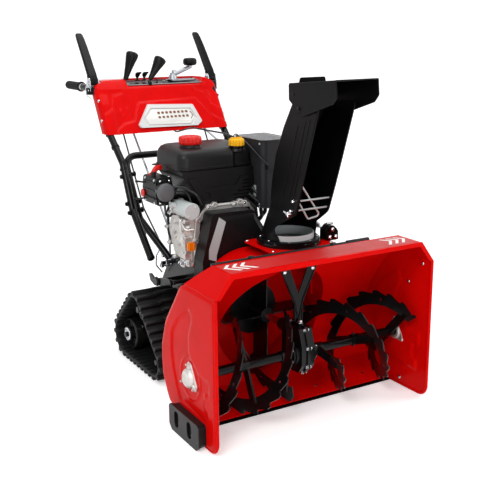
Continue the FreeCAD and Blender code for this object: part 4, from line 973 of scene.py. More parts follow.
class SNOWBLOWER_OT_intake(bpy.types.Operator):
    """Air box, heater knob, ribbed breather tube, hoses and pull starter"""
    bl_idname = "snowblower.intake"
    bl_label = "Intake and pull starter"

    def execute(self, context):
        bm = bmesh.new()
        prism(bm, fillet([(-236, 590, 10), (-240, 640, 8), (-236, 686, 10), (-180, 688, 8),
                          (-174, 660, 6), (-176, 588, 8)]), "Y", 697, 808)
        prism(bm, fillet([(-233, 594, 8), (-233, 682, 8), (-184, 682, 6), (-181, 594, 6)]),
              "Y", 697, 689, 0.08)
        for z in (612, 640, 668):
            block(bm, (-243, 704, z), (-236, 796, z + 4))
        block(bm, (-178, 720, 602), (-142, 770, 614))
        lathe(bm, [(9, 0), (9, 16), (6, 18)], (-226, 742, 684), UP, 18)
        for z, lean in ((658, 4), (604, -4)):
            tube(bm, [(-232, 800, z), (-252, 806, z + lean), (-262, 818, z + lean)],
                 [3.4, 3.4, 4.6], 8)
        lathe(bm, [(20, 0), (20, 22), (26, 26), (26, 40)], (-226, 690, 648), FORWARD, 28)
        piece("air_box_shell", bm, "black_grained_abs",
              replaces=("air_box",), bevel=1.2)

        bm = bmesh.new()
        for x, z in ((-224, 676), (-190, 676), (-226, 600), (-190, 600)):
            dome(bm, (x, 689.5, z), FORWARD, 5)
        for y, z in ((716, 676), (790, 676), (716, 598), (790, 598)):
            dome(bm, (-237, y, z), RIGHT, 5)
        dome(bm, (-184, 706, 688), UP, 5)
        piece("air_box_screws", bm, "bright_zinc_plate")

        bm = bmesh.new()
        lathe(bm, [(13, 0), (14, 3), (13, 6), (8, 8), (8, 18)], (-246, 799, 622), LEFT, 10)
        piece("choke_knob", bm, "red_polypropylene")

        bm = bmesh.new()
        lathe(bm, [(12, 0), (24, 1.5), (29.5, 4.5), (31.5, 9), (31.5, 15), (29, 18),
                   (26, 24), (17, 36), (14, 44), (14, 70)], (-232, 620, 648), BACK, 48)
        piece("heater_knob_shell", bm, "grey_abs",
              replaces=("heater_knob",), angle=50)

        bm = bmesh.new()
        way = flow([(-212, 806, 672), (-214, 792, 682), (-216, 770, 690), (-217, 752, 704),
                    (-216, 736, 716), (-206, 722, 720)], 16)
        tube(bm, way, [8 + 1.8 * math.sin(k * 1.6) for k in range(len(way))], 16)
        piece("breather_tube", bm, "red_polypropylene", angle=60)

        bm = bmesh.new()
        for corner, radius, sides, *way in (
                (22, 4, 10, (-206, 646, 662), (-170, 616, 664), (-140, 590, 640),
                 (-120, 586, 600)),
                (24, 3, 10, (-196, 700, 640), (-160, 610, 646), (-150, 600, 596)),
                (16, 4, 10, (-210, 692, 596), (-214, 676, 560), (-196, 670, 546),
                 (-180, 690, 580)),
                (40, 5, 12, (-140, 740, 640), (-176, 742, 560), (-172, 744, 470),
                 (-150, 700, 410)),
                (20, 7, 12, (86, 600, 640), (112, 566, 600), (116, 556, 560), (100, 584, 520)),
                (20, 7, 12, (70, 594, 620), (98, 566, 588), (104, 562, 540), (88, 584, 510)),
                (20, 6, 12, (52, 594, 606), (84, 572, 574), (90, 572, 530), (70, 586, 500))):
            tube(bm, bend(way, corner), radius, sides)
        piece("engine_hoses", bm, "cable_sheath")

        bm = bmesh.new()
        lathe(bm, [(95, 0), (95, 30), (88, 38), (70, 42), (66, 50), (20, 52), (18, 48)],
              (-30, 790, 560), BACK, 56)
        for a in turns(20):
            tube(bm, [(x, 841, z) for x, z in (polar((-30, 560), 28, a),
                                               polar((-30, 560), 62, a))], 2.6, 6)
        block(bm, (-92, 800, 622), (-62, 832, 652), 6)
        piece("recoil_starter_shell", bm, "black_grained_abs",
              replaces=("recoil_starter",), bevel=0.8)

        bm = bmesh.new()
        tube(bm, [(-108, 822, 660), (-46, 822, 660)], [7, 7], 14)
        tube(bm, [(-77, 822, 640), (-77, 822, 660)], 3, 8)
        piece("pull_handle", bm, "grip_rubber", bevel=1.5)
        return {"FINISHED"}


# ------------------------------------------------------------------ tracks

# Y, Z and radius of the front, rear and top roller of a track
ROLLERS = ((600, 64, 42), (867, 82, 60), (748, 212, 48))
# X of a belt's inner and outer edge, and how many lugs it has
TRACK_IN, TRACK_OUT, LUGS = 158, 318, 30


def belt_way(steps):
    """Points round the rollers in Y and Z with their outward directions, evenly spaced."""
    runs = []
    for (y, z, radius), (next_y, next_z, next_radius) in zip(ROLLERS, ROLLERS[1:] + ROLLERS[:1]):
        gap = Vector((next_y - y, next_z - z))
        ahead, length = gap.normalized(), gap.length
        lean = (radius - next_radius) / length
        out = ahead * lean + Vector((ahead.y, -ahead.x)) * math.sqrt(1 - lean * lean)
        runs.append((Vector((y, z)), radius, out))
    dense = []
    for number, (centre, radius, out) in enumerate(runs):
        start = runs[number - 1][2]
        sweep = math.atan2(start.x * out.y - start.y * out.x, start.dot(out)) % math.tau
        for step in range(41):
            aim = Matrix.Rotation(sweep * step / 40, 2) @ start
            dense.append((centre + aim * radius, aim))
    dense.append(dense[0])
    spans = [(b[0] - a[0]).length for a, b in zip(dense, dense[1:])]
    total, made, number, passed = sum(spans), [], 0, 0.0
    for step in range(steps):
        aim = total * step / steps
        while passed + spans[number] < aim:
            passed += spans[number]
            number += 1
        share = (aim - passed) / max(spans[number], 1e-6)
        made.append((dense[number][0].lerp(dense[number + 1][0], share),
                     dense[number][1].lerp(dense[number + 1][1], share).normalized()))
    return made


class SNOWBLOWER_OT_tracks(bpy.types.Operator):
    """Ribbed rubber belts with staggered lugs"""
    bl_idname = "snowblower.tracks"
    bl_label = "Tracks"

    def execute(self, context):
        bm = bmesh.new()
        each = 8
        way = belt_way(LUGS * each)
        rings = []
        for number, (spot, out) in enumerate(way):
            rib = 5.5 * max(0.0, math.cos(math.tau * number / each)) ** 1.5
            section = ((TRACK_IN, 1), (TRACK_IN, 8), (TRACK_IN + 2, 9), (TRACK_OUT - 3, 9),
                       (TRACK_OUT, 8), (TRACK_OUT + 0.8, 5), (TRACK_OUT, 1),
                       (TRACK_OUT - 3, -0.4 * rib), (TRACK_OUT - 14, -rib),
                       (TRACK_IN + 12, -rib), (TRACK_IN + 3, 0))
            rings.append([(x, *(spot + out * h)) for x, h in section])
        rows = skin(bm, rings, caps=False)
        for k in range(len(rows[0])):
            following = (k + 1) % len(rows[0])
            bm.faces.new((rows[-1][k], rows[-1][following], rows[0][following], rows[0][k]))
        for lug in range(LUGS):
            for low, high, shift in ((TRACK_IN - 0.5, 236, -5), (228, 248, 0),
                                     (240, TRACK_OUT + 1, 5)):
                spot, out = way[lug * each]
                ahead = Vector((-out.y, out.x))
                loops = []
                for x, lower in ((low, 2.5), (low + 3, 0), (high - 3, 0), (high, 2.5)):
                    loops.append([(x, *(spot + ahead * (shift + u) + out * v))
                                  for u, v in ((-9, 7), (-6.5, 19 - lower), (-4.5, 22 - lower),
                                               (4.5, 22 - lower), (6.5, 19 - lower), (9, 7))])
                skin(bm, loops)
        both_sides(bm)
        piece("track_belts", bm, "track_rubber",
              replaces=("track_left", "track_right"), angle=50)
        return {"FINISHED"}


class SNOWBLOWER_OT_wheels(bpy.types.Operator):
    """Dished rollers, toothed sprockets, hub caps and frame bolts inside the tracks"""
    bl_idname = "snowblower.wheels"
    bl_label = "Track wheels"

    def execute(self, context):
        bm = bmesh.new()
        for y, z, radius in ROLLERS:
            r = radius - 1.5
            lathe(bm, [(16, 0), (r - 8, 4), (r - 3, 4), (r, 7), (r, 30), (r - 5, 34),
                       (r - 5, 74), (r, 78), (r, 102), (r - 3, 106), (r - 8, 106),
                       (r - 12, 92), (24, 88), (24, 112), (21, 114), (10, 114)],
                  (178, y, z), LEFT, 40)
            for a in turns(6):
                tube(bm, [(268, *polar((y, z), 22, a)), (272, *polar((y, z), r - 10, a))],
                     [5, 3.5], 8)
        for a in turns(9):
            tube(bm, [(x, *polar((748, 212), 44, a)) for x in (196, 280)], 5, 8)
        both_sides(bm)
        piece("track_wheels_shell", bm, "black_grained_abs",
              replaces=("track_wheels_left", "track_wheels_right"), bevel=0.8)

        bm = bmesh.new()
        lathe(bm, [(26, 0), (26, 6), (24, 8), (17, 8), (15, 5), (8, 5), (7, 9), (0, 9)],
              (291, 867, 82), LEFT, 36)
        for y, z in ((600, 64), (748, 212)):
            lathe(bm, [(13, 0), (13, 5), (0, 6)], (291, y, z), LEFT, 6)
        for y, z in ((640, 92), (700, 150), (728, 96), (790, 110), (812, 66), (760, 160)):
            bolt(bm, (170, y, z), LEFT, 7)
        for y, z in ((660, 100), (806, 122)):
            tube(bm, [(176, y, z), (262, y, z)], 6, 12)
        both_sides(bm)
        piece("wheel_hubs", bm, "bright_zinc_plate", bevel=0.5)

        bm = bmesh.new()
        for y, z in ((660, 100), (806, 122)):
            lathe(bm, [(16, 0), (22, 2), (22, 12), (16, 14)], (236, y, z), LEFT, 24)
        lathe(bm, [(17, 0), (17, 4), (13, 8), (6, 8)], (236, 716, 316), LEFT, 24)
        lathe(bm, [(11, 0), (11, 4), (7, 6)], (236, 606, 338), LEFT, 20)
        both_sides(bm)
        piece("frame_idlers", bm, "satin_black_powder_coat", bevel=0.8)
        return {"FINISHED"}


# ------------------------------------------------------------------ handles

# X and Z of a grip's middle line, Y and Z of the pin that its clutch lever turns on
GRIP_X, GRIP_Z, PIN = 255, 962, (1206, 992)


def strap(bm, x, path, halves):
    """A bar of rounded oblong section along a path in Y and Z, by half width and thickness."""
    loops = []
    for number, ((y, z), (wide, thick)) in enumerate(zip(path, halves)):
        before, after = path[max(number - 1, 0)], path[min(number + 1, len(path) - 1)]
        ahead = (Vector(after) - Vector(before)).normalized()
        section = round_box((-wide, -thick), (wide, thick), thick * 0.85, 4)
        loops.append([(x + u, y - ahead.y * v, z + ahead.x * v) for u, v in section])
    skin(bm, loops)


class SNOWBLOWER_OT_levers(bpy.types.Operator):
    """Bowed clutch levers above the grips"""
    bl_idname = "snowblower.levers"
    bl_label = "Clutch levers"

    def execute(self, context):
        path = [(1203, 984), (1208, 996), (1217, 1012), (1238, 1038), (1268, 1077),
                (1298, 1114), (1322, 1142), (1337, 1158), (1343, 1163), (1346, 1166)]
        halves = [(15, 8), (18, 9.5), (18.5, 9), (18, 8.5), (17.5, 8), (17, 7.6), (16, 7),
                  (14.5, 6.5), (12, 5), (7, 2.5)]
        for side, name in SIDES:
            x = side * GRIP_X
            bm = bmesh.new()
            strap(bm, x, path, halves)
            strap(bm, x, [(1200, 978), PIN, (1220, 1012)], [(17, 9), (19.5, 11), (19, 10)])
            tube(bm, [(x - 20, *PIN), (x + 20, *PIN)], 7, 16)
            for y, z in ((1250, 1061), (1282, 1101)):
                tube(bm, [(x - 9, y, z), (x + 9, y, z)], 2.2, 8)
            piece("clutch_paddle_" + name, bm, "black_gloss_abs",
                  body=name + "_lever", replaces=("clutch_lever_" + name,), bevel=0.6)
        return {"FINISHED"}


LOWER_TUBE = [(-150, 796, 371), (-205, 925, 500), (-211, 1036, 718), (211, 1036, 718),
              (205, 925, 500), (150, 796, 371)]
UPPER_TUBE = [(237, 765, 393), (237, 912, 538), (238, 985, 700), (243, 1095, 803),
              (245, 1190, GRIP_Z), (GRIP_X, 1310, GRIP_Z), (GRIP_X, 1488, GRIP_Z)]


class SNOWBLOWER_OT_handles(bpy.types.Operator):
    """Tubes, grips, lever brackets and clamps of the handles"""
    bl_idname = "snowblower.handles"
    bl_label = "Handles"

    def execute(self, context):
        bm = bmesh.new()
        tube(bm, bend(LOWER_TUBE, 45, 8), 13, 20)
        for side in (-1, 1):
            lathe(bm, [(7, 0), (7, 40)], (side * 136, 806, 352), (side, 0, 0), 14)
        piece("lower_handle_tube", bm, "satin_black_powder_coat",
              replaces=("lower_handle",))
        grip = [(13.5, 0), (19, 0.5), (20, 3), (19, 6), (16.4, 8)]
        for ring in range(20):
            along = 14 + ring * 6.2
            grip += [(16.4, along - 2), (15.4, along - 1), (15.4, along + 1), (16.4, along + 2)]
        grip += [(16.6, 142), (16, 147), (12, 150), (6, 151)]
        for side, name in SIDES:
            bm = bmesh.new()
            path = bend([(side * x, y, z) for x, y, z in UPPER_TUBE], 42, 8)
            tube(bm, path, 13, 20)
            lathe(bm, [(14, -3), (14, 6), (12, 9)], path[0], path[0] - path[1], 20)
            piece("upper_handle_tube_" + name, bm, "satin_black_powder_coat",
                  replaces=("upper_handle_" + name,))
        for side, name in SIDES:
            bm = bmesh.new()
            lathe(bm, grip, (side * GRIP_X, 1340, GRIP_Z), BACK, 28)
            piece("hand_grip_" + name, bm, "grip_rubber",
                  replaces=("grip_" + name,), angle=50)

        bm = bmesh.new()
        for x in (235.4, 270.6):
            prism(bm, fillet([(1190, 946, 8), (1190, 972, 6), (1198, 1003, 8), (1216, 1003, 8),
                              (1234, 972, 6), (1234, 946, 8)]), "X", x, x + 3.6)
        for y in (1200, 1226):
            tube(bm, [(233, y, 956), (277, y, 956)], 3.6, 10)
        tube(bm, [(231, *PIN), (278, *PIN)], 4.2, 12)
        for *spot, size in ((1200, 956, 5), (1226, 956, 5), (*PIN, 6)):
            bolt(bm, (274.5, *spot), LEFT, size)
            bolt(bm, (235, *spot), RIGHT, size)
        tube(bm, bend([(276, 1212, 980), (284, 1214, 966), (280, 1216, 936), (262, 1206, 920)],
                      10), 1.6, 8)
        lathe(bm, [(7, 0), (7, 16), (5, 18)], (GRIP_X, 1192, 940), (0, -0.5, -0.86), 12)
        lathe(bm, [(14.4, 0), (14.4, 22), (13.6, 23)], (GRIP_X, 1318, GRIP_Z), BACK, 24)
        both_sides(bm)
        piece("lever_brackets", bm, "bright_zinc_plate", bevel=0.5)

        bm = bmesh.new()
        for y, z in ((966, 655), (925, 560), (905, 530)):
            lathe(bm, [(10, 0), (10, 3), (8, 4), (8, 9), (4, 11)], (249, y, z), LEFT, 6)
            tube(bm, [(238, y, z), (210, y + 32, z)], 7, 12)
            lathe(bm, [(8, 0), (8, 10), (11, 12), (11, 16), (7, 18)], (202, y + 32, z),
                  RIGHT, 12)
        for at, way in (((243, 1088, 795), (0, 0.74, 0.67)), ((241, 1040, 751), (0, 0.74, 0.67)),
                        ((238, 976, 676), (0, 0.42, 0.91))):
            lathe(bm, [(15, 0), (15.6, 1), (15.6, 8), (15, 9)], at, way, 20)
        both_sides(bm)
        piece("handle_clamps", bm, "black_gloss_abs", bevel=0.8)

        bm = bmesh.new()
        for y, z in ((806, 352), (850, 330), (838, 372)):
            bolt(bm, (140, y, z), LEFT, 8)
            lathe(bm, [(9, 0), (9, 10), (6, 12)], (150, y, z), LEFT, 14)
        tube(bm, bend([(150, 862, 300), (172, 866, 330), (176, 850, 372), (168, 838, 396)],
                      16), 3, 10)
        lathe(bm, [(6, 0), (6, 30), (4, 34)], (203, 912, 468), (-0.1, -0.6, -0.8), 14)
        lathe(bm, [(9, 0), (9, 6)], (201, 900, 452), (-0.1, -0.6, -0.8), 14)
        both_sides(bm)
        piece("handle_foot_bolts", bm, "bright_zinc_plate")
        return {"FINISHED"}


# ------------------------------------------------------------------ dash

# X of the control panel's two ends, Y of its rear edge and of the dash's rear edge
PANEL_START, PANEL_STOP, PANEL_BACK, DASH_BACK = -122, 204, 1256, 1266
# Z of the dash's lower edge and of the line where its front starts to curve over
DASH_FOOT, DASH_BROW = 798, 957
# X and Z of the raised field round the headlight and of the sunk field of a wing
BEZEL = [(-101, 906), (-137, 840), (-178, 834), (-214, 812), (-222, 790), (252, 790),
         (262, 812), (213, 840), (192, 852), (148, 914)]
WING = [(158, 944), (196, 934), (212, 892), (236, 874), (300, 866), (300, 990), (150, 990)]


def dash_relief(x, z):
    """How far the moulding stands out of its plain face."""
    lift_out = 6 * step_up(inside_by(BEZEL, x, z), 6)
    lift_out -= 5 * step_up(inside_by(WING, x, z), 8)
    lift_out -= 3 * step_up(inside_by(WING, -x, z), 12)
    for ridge, low, high in ((-213, 858, 888), (-181, 866, 880), (-152, 868, 886)):
        reach = math.hypot(x - ridge, max(0, low - z, z - high))
        lift_out += 3.2 * math.exp(-(reach / 4) ** 2)
    return lift_out


def panel_height(y):
    """Top of the control panel, which rises backwards."""
    return 967 + (y - 1189) * 0.2


def dash_level(z):
    """Half width, front and back of the dash at a height below its top edge."""
    rise = max(0.0, (z - DASH_BROW) / 35)
    half = 262 - 55 * (1 - math.sqrt(max(0.0, 1 - rise ** 2.2)))
    front = 1074 + 0.6 * (min(z, DASH_BROW) - DASH_FOOT) + 0.75 * max(0, z - DASH_BROW)
    return half, front, min(front + 46, DASH_BACK) if z < 950 else DASH_BACK


def dash_loop(z, draw_in=0.0):
    """Outline of the dash at a height, from the rear of one side round the front."""
    half, front, back = dash_level(z)
    half, front = half - draw_in, front + draw_in
    radius = 22
    wall = [(-half, back + (front + radius - back) * share / 6) for share in range(6)]
    corner = [(-half + radius - radius * math.cos(k * math.pi / 20),
               front + radius - radius * math.sin(k * math.pi / 20)) for k in range(10)]
    reach = half - radius
    middle = [(-reach + 2 * reach * k / 140, front) for k in range(141)]
    other_side = [(-x, y) for x, y in reversed(wall + corner)]
    loop = []
    for x, y in wall + corner + middle + other_side:
        facing = max(0.0, 1 - (y - front) / radius)
        swell = 7 * step_up(abs(x) - 212, 20) * step_up(930 - z, 60)
        relief = dash_relief(x, z) * step_up(952 - z, 24)
        loop.append((x, y - (relief + swell) * facing, z))
    return loop


def thicken(bm, inwards):
    """Give an open sheet its wall, pushed in along the normals of its points."""
    bmesh.ops.remove_doubles(bm, verts=bm.verts[:], dist=0.05)
    bmesh.ops.recalc_face_normals(bm, faces=bm.faces[:])
    bm.normal_update()
    out = {tuple(vert.co): vert.normal.copy() for vert in bm.verts}
    back = bmesh.ops.extrude_face_region(bm, geom=bm.faces[:])
    for vert in [item for item in back["geom"] if isinstance(item, bmesh.types.BMVert)]:
        vert.co -= out[tuple(vert.co)] * inwards


class SNOWBLOWER_OT_dash(bpy.types.Operator):
    """Dash moulding with its relief, lever cups and screws"""
    bl_idname = "snowblower.dash"
    bl_label = "Dash"

    def execute(self, context):
        loops = [dash_loop(DASH_FOOT + 3 * k) for k in range(61)]
        for turn in range(1, 7):
            a = turn * math.pi / 12
            loops.append(dash_loop(980 + 12 * math.sin(a), 12 * (1 - math.cos(a))))
        top = loops[-1]
        for row in range(1, 11):
            edge = 1207 + row * (DASH_BACK - 1207) / 10
            loops.append([(x, max(y, edge), z) for x, y, z in top])
        sunk = []
        for loop in loops:
            sunk.append([(x, y, min(z, panel_height(y) - 1)
                          if PANEL_START - 3 < x < PANEL_STOP + 3 and y < PANEL_BACK else z)
                         for x, y, z in loop])
        bm = bmesh.new()
        skin(bm, sunk, caps=False, around=False)
        middles = [(face, face.calc_center_median()) for face in bm.faces]
        # the corners behind the handle tubes are open for the clutch levers
        bmesh.ops.delete(bm, context="FACES", geom=[
            face for face, at in middles if abs(at.x) > 229 and at.y > 1193 and at.z > 944])
        thicken(bm, 2.6)
        piece("dash_shell", bm, "red_gloss_abs", replaces=("dashboard",),
              angle=50)

        bm = bmesh.new()
        for at in ((258.5, 1150, 918), (262, 1118, 846)):
            lathe(bm, [(6, -3), (6, 1.4), (4, 2.4)], at, LEFT, 16)
        both_sides(bm)
        piece("dash_screws", bm, "bright_zinc_plate")

        bm = bmesh.new()
        lathe(bm, [(30, 0), (30, 24), (24, 26), (24, 6)], (252, 1212, 940), UP, 28)
        both_sides(bm)
        piece("lever_cups", bm, "black_gloss_abs")
        return {"FINISHED"}


class SNOWBLOWER_OT_headlight(bpy.types.Operator):
    """Headlight with its bezel, lens and rows of lamps"""
    bl_idname = "snowblower.headlight"
    bl_label = "Headlight"

    def execute(self, context):
        middle_x, middle_z = 12, 853
        outer = fillet([(-127, 826, 4), (-69, 899, 6), (125, 891, 6), (147, 826, 5),
                        (123, 811, 8), (-122, 815, 5)], 4)
        inner = fillet([(-99, 849, 4), (-61, 884, 4), (106, 877, 4), (122, 840, 4),
                        (96, 818, 6), (-92, 823, 5)], 4)

        def on_slope(outline, out, scale=1.0):
            """Outline laid on the leaning face of the dash, some way in front of it."""
            return [(middle_x + (x - middle_x) * scale,
                     1066 + 0.604 * (z - DASH_FOOT) - out,
                     middle_z + (z - middle_z) * scale) for x, z in outline]

        bm = bmesh.new()
        skin(bm, [on_slope(outer, -30), on_slope(outer, 2), on_slope(outer, 7, 0.975),
                  on_slope(inner, 8, 1.03), on_slope(inner, 4), on_slope(inner, 3.5, 0.97)])
        piece("headlight_bezel", bm, "headlight_frame", replaces=("headlight",),
              bevel=0.5)

        bm = bmesh.new()
        skin(bm, [on_slope(inner, -4, 0.93), on_slope(inner, 5.5, 0.93),
                  on_slope(inner, 6.5, 0.9)])
        piece("headlight_lens_plate", bm, "headlight_lens")

        bm = bmesh.new()
        for column in range(8):
            for z in (850, 866):
                x = -34 + column * 17.1
                skin(bm, [on_slope(round_box((x - 5, z - 4), (x + 5, z + 4), 2), out)
                          for out in (5, 7.6)])
        tube(bm, on_slope([(101, 866), (111, 852), (98, 838)], 7), 1.4, 6)
        piece("headlight_lamps", bm, "amber_chip")
        return {"FINISHED"}


# X and Y of the chute crank's hub and of the knob on its arm
CRANK_HUB, CRANK_KNOB = (95, 1232), (171, 1228)


class SNOWBLOWER_OT_controls(bpy.types.Operator):
    """Control panel, knob levers, small levers and the chute crank with its rod"""
    bl_idname = "snowblower.controls"
    bl_label = "Controls"

    def execute(self, context):
        bm = bmesh.new()
        outline = round_box((PANEL_START, 1192), (PANEL_STOP, PANEL_BACK), 8)
        top = [(41 + (x - 41) * 0.985, 1224 + (y - 1224) * 0.96, panel_height(y) + 3.4)
               for x, y in outline]
        skin(bm, [[(x, y, panel_height(y) + rise) for x, y in outline]
                  for rise in (-3, 2.2)] + [top])
        for x, long in ((-86, 34), (-10, 40), (60, 46), (140, 44)):
            for row, y in enumerate((1204, 1216)):
                block(bm, (x - long / 2, y, panel_height(y) + 2),
                      (x + long / 2, y + 4, panel_height(y) + 4.4 - row), 1.5)
        piece("control_panel_plate", bm, "black_gloss_abs",
              replaces=("control_panel",), bevel=0.5)

        bm = bmesh.new()
        # the pale grey line round the panel's edge is a painted highlight of that edge; the
        # frames round the two lever slots are real
        rim = [(x, y, panel_height(y) + 2.6) for x, y in outline]
        tube(bm, rim + rim[:1], 1.5, 6)
        for x in (-117, -13):
            slot = [(x + u, 1225 + v, panel_height(1225 + v) + 3.2)
                    for u, v in round_box((-9, -20), (9, 20), 8)]
            tube(bm, slot + slot[:1], 1.6, 6)
        piece("panel_rim_highlight_and_slot_frames", bm, "silver_paint_and_highlight")

        handle = [(4.5, 0), (4.5, 8), (9, 10), (11, 26), (15, 50), (19.5, 72), (23, 86),
                  (24.5, 95), (24, 101), (20, 104)]
        caps = bmesh.new()
        for number, node, foot, tip in (
                (1, "gear_lever", Vector((-119, 1223, 980)), Vector((-77, 1227, 1096))),
                (2, "deflector_lever", Vector((-15, 1223, 980)), Vector((44, 1227, 1071)))):
            bm = bmesh.new()
            reach = tip - foot
            scale = reach.length / 108
            lathe(bm, [(radius, along * scale) for radius, along in handle], foot, reach, 32)
            piece("knob_lever_%d" % number, bm, "black_gloss_abs",
                  replaces=(node,), angle=50)
            lathe(caps, [(19, 0), (19, 1), (16, 2.4), (5, 3)],
                  tip - reach.normalized() * 4.4, reach, 28)
        piece("knob_lever_caps", caps, "charcoal_cap")

        bm = bmesh.new()
        for x in (-64, -34):
            lathe(bm, [(9, 0), (9, 4), (4, 6), (4, 16)], (x, 1226, 984), UP, 16)
            strap(bm, x, [(1226, 996), (1224, 1004), (1216, 1012), (1202, 1016)],
                  [(5, 3), (9, 4), (10.5, 4), (9, 2.5)])
        strap(bm, -25, [(1198, 984), (1190, 976), (1187, 962)], [(7, 3), (8, 3), (5, 2)])
        piece("choke_levers", bm, "black_gloss_abs",
              replaces=("small_levers",), bevel=0.5)

        bm = bmesh.new()
        lathe(bm, [(22, 0), (22, 3), (17, 5), (15, 18), (12, 20), (12, 26)],
              (*CRANK_HUB, 982), UP, 28)
        tube(bm, [(*CRANK_HUB, 1008), (116, 1231, 1010), (169, 1228, 1030), (172, 1228, 1032)],
             [13, 9, 7.5, 8], 12)
        lathe(bm, [(8, 0), (8, 12)], (*CRANK_KNOB, 1026), UP, 16)
        for x, y in ((52, 1228), (70, 1240)):
            dome(bm, (x, y, panel_height(y) + 3), (0, 0.2, 1), 6)
        prism(bm, fillet([(84, 1216, 8), (116, 1216, 8), (190, 1222, 5), (190, 1236, 5),
                          (116, 1246, 8), (84, 1246, 8)]), "Z", 978, 984)
        piece("crank_arm", bm, "drawn_steel", bevel=0.6)

        bm = bmesh.new()
        lathe(bm, [(17, 0), (25, 3), (28, 9), (28, 20), (25, 27), (18, 30), (6, 31)],
              (*CRANK_KNOB, 1036), UP, 32)
        piece("crank_knob_shell", bm, "black_gloss_abs",
              replaces=("chute_crank",), angle=50)

        bm = bmesh.new()
        low, high = Vector((240, 374, 508.5)), Vector((150, 1126, 812))
        reach = (high - low).normalized()
        tube(bm, [low, high], 4, 12)
        tube(bm, [high, (98, 1228, 980)], 4, 12)
        for at, way in ((low + reach * 30, reach), (high - reach * 20, reach)):
            lathe(bm, [(7, 0), (8.5, 3), (8.5, 22), (7, 25)], at, way, 6)
        piece("chute_rod_shell", bm, "drawn_steel", replaces=("chute_rod",))

        bm = bmesh.new()
        tube(bm, bend([(-117, 1196, 826), (-118, 858, 461), (-124, 842, 344)], 30), 4, 12)
        lathe(bm, [(8, 0), (8, 22), (6, 26)], (-118, 872, 476), (0, -0.68, -0.73), 12)
        piece("shift_rod_shell", bm, "drawn_steel", replaces=("shift_rod",))
        return {"FINISHED"}


# ------------------------------------------------------------------ stage

def seen_directly(tree):
    """1 for rays from the camera, from reflections and through glass, 0 for lighting rays."""
    rays = add(tree, "LightPath").outputs
    shiny = add(tree, "Math", {0: rays["Is Camera Ray"], 1: rays["Is Glossy Ray"]},
                operation="MAXIMUM")
    clear = add(tree, "Math", {0: shiny.outputs["Value"], 1: rays["Is Transmission Ray"]},
                operation="MAXIMUM")
    return clear.outputs["Value"]


def aim(thing, ahead, roll=0.0):
    """Point a lamp or a camera along a direction and roll it about that."""
    thing.rotation_mode = "QUATERNION"
    thing.rotation_quaternion = (Vector(ahead).to_track_quat("-Z", "Y")
                                 @ Matrix.Rotation(roll, 3, "Z").to_quaternion())


def make_stage(look):
    """Pale sweep, soft lights and the camera."""
    scene = bpy.context.scene
    scene.view_settings.view_transform = "Standard"
    world = bpy.data.worlds.new("studio")
    scene.world = world
    world.use_nodes = True
    background = world.node_tree.nodes["Background"]
    background.inputs["Color"].default_value = linear("#FFFFFF")
    strength = add(world.node_tree, "MapRange",
                   {"Value": seen_directly(world.node_tree), "To Min": look.fill_light,
                    "To Max": 1.0})
    world.node_tree.links.new(strength.outputs["Result"], background.inputs["Strength"])

    sweep = bmesh.new()
    skin(sweep, [[(x, y, z) for x in (-12, 12)] for y, z in (
        (-9, 0), (2.2, 0), (2.9, 0.12), (3.4, 0.5), (3.7, 1.2), (3.8, 6))],
         caps=False, around=False)
    backdrop = show("sweep", sweep)
    # turned square to the camera's heading
    backdrop.rotation_euler = (0, 0, math.radians(-30))
    tree, shader, place = surface("pale_paper")
    mottle(tree, shader, place, "#FBFBFB", "#F8F8F8", 900, 0.85, 0.02)
    shader.inputs["Emission Color"].default_value = linear("#FFFFFF")
    glow = add(tree, "Math", {0: seen_directly(tree), 1: look.paper_glow},
               operation="MULTIPLY")
    tree.links.new(glow.outputs["Value"], shader.inputs["Emission Strength"])
    backdrop.data.materials.append(MATERIALS["pale_paper"])

    for name, at, target, size, share in (
            ("key", (-2.6, -2.6, 3.2), (0, -0.2, 0.4), (1.6, 1.6), 1.0),
            ("side", (3.0, -2.0, 2.2), (0, -0.2, 0.4), (1.2, 2.0), 0.5),
            ("top", (0, 0.2, 3.4), (0, 0, 0.4), (2.4, 2.4), 0.6),
            ("front", (-0.6, -3.6, 0.9), (0, -0.3, 0.3), (1.8, 0.8), 0.25)):
        lamp = bpy.data.lights.new(name, "AREA")
        lamp.shape = "RECTANGLE"
        lamp.size, lamp.size_y = size
        lamp.energy = look.key_light * share
        thing = bpy.data.objects.new(name, lamp)
        thing.location = at
        aim(thing, Vector(target) - Vector(at))
        scene.collection.objects.link(thing)

    lens = bpy.data.cameras.new("camera")
    lens.lens = 63.1
    lens.sensor_width = 36
    lens.clip_end = 60
    camera = bpy.data.objects.new("camera", lens)
    yaw, pitch, roll = math.radians(30.1), math.radians(14.2), math.radians(-0.5)
    camera.location = (-1.4125, FRONT - 1.8989, 1.1856)
    ahead = Vector((math.sin(yaw) * math.cos(pitch), math.cos(yaw) * math.cos(pitch),
                    -math.sin(pitch)))
    aim(camera, ahead, roll)
    scene.collection.objects.link(camera)
    scene.camera = camera


# ------------------------------------------------------------------ add-on

class SnowBlowerLook(bpy.types.PropertyGroup):
    """Colours and light of the machine."""
    red: bpy.props.StringProperty(
        name="Body red", description="Powder coat of the housing and the dash",
        default="#DE0A07")
    black: bpy.props.StringProperty(
        name="Chute black", description="Powder coat of the chute and the hood",
        default="#0B0B0C")
    key_light: bpy.props.FloatProperty(
        name="Key light", description="Power of the key softbox", default=76.0,
        unit="POWER", min=0.0)
    fill_light: bpy.props.FloatProperty(
        name="Fill light", description="Strength of the even white surround", default=0.42,
        min=0.0)
    paper_glow: bpy.props.FloatProperty(
        name="Paper glow", description="White added where the backdrop is seen directly",
        default=0.35, min=0.0)


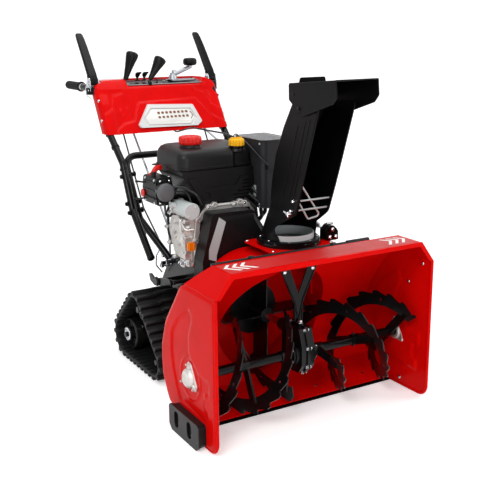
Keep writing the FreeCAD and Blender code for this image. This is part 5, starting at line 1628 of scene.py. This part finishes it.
class SNOWBLOWER_OT_stage(bpy.types.Operator):
    """Set the sweep, the lights and the camera"""
    bl_idname = "snowblower.stage"
    bl_label = "Stage"

    def execute(self, context):
        make_stage(context.scene.snowblower_look)
        return {"FINISHED"}


class SNOWBLOWER_OT_finishes(bpy.types.Operator):
    """Make the materials and paint the machine's plain pieces"""
    bl_idname = "snowblower.finishes"
    bl_label = "Finishes"

    def execute(self, context):
        make_materials(context.scene.snowblower_look)
        paint_nodes()
        return {"FINISHED"}


class SNOWBLOWER_PT_panel(bpy.types.Panel):
    """Lists the steps in the order they run"""
    bl_label = "Snow blower"
    bl_idname = "SNOWBLOWER_PT_panel"
    bl_space_type = "VIEW_3D"
    bl_region_type = "UI"
    bl_category = "Snow blower"

    def draw(self, context):
        look = context.scene.snowblower_look
        for name in ("red", "black", "key_light", "fill_light", "paper_glow"):
            self.layout.prop(look, name)
        for step in STEPS:
            self.layout.operator(step.bl_idname)


STEPS = (
    SNOWBLOWER_OT_stage, SNOWBLOWER_OT_finishes, SNOWBLOWER_OT_housing,
    SNOWBLOWER_OT_bearings, SNOWBLOWER_OT_skids, SNOWBLOWER_OT_auger, SNOWBLOWER_OT_chute,
    SNOWBLOWER_OT_hood, SNOWBLOWER_OT_tank, SNOWBLOWER_OT_shroud, SNOWBLOWER_OT_castings,
    SNOWBLOWER_OT_intake, SNOWBLOWER_OT_tracks, SNOWBLOWER_OT_wheels, SNOWBLOWER_OT_levers,
    SNOWBLOWER_OT_handles, SNOWBLOWER_OT_dash, SNOWBLOWER_OT_headlight,
    SNOWBLOWER_OT_controls,
)
CLASSES = (SnowBlowerLook, *STEPS, SNOWBLOWER_PT_panel)


def register():
    for kind in CLASSES:
        bpy.utils.register_class(kind)
    bpy.types.Scene.snowblower_look = bpy.props.PointerProperty(type=SnowBlowerLook)


def unregister():
    del bpy.types.Scene.snowblower_look
    for kind in reversed(CLASSES):
        bpy.utils.unregister_class(kind)


def main():
    register()
    for step in STEPS:
        family, action = step.bl_idname.split(".")
        getattr(getattr(bpy.ops, family), action)()


if __name__ == "__main__":
    main()
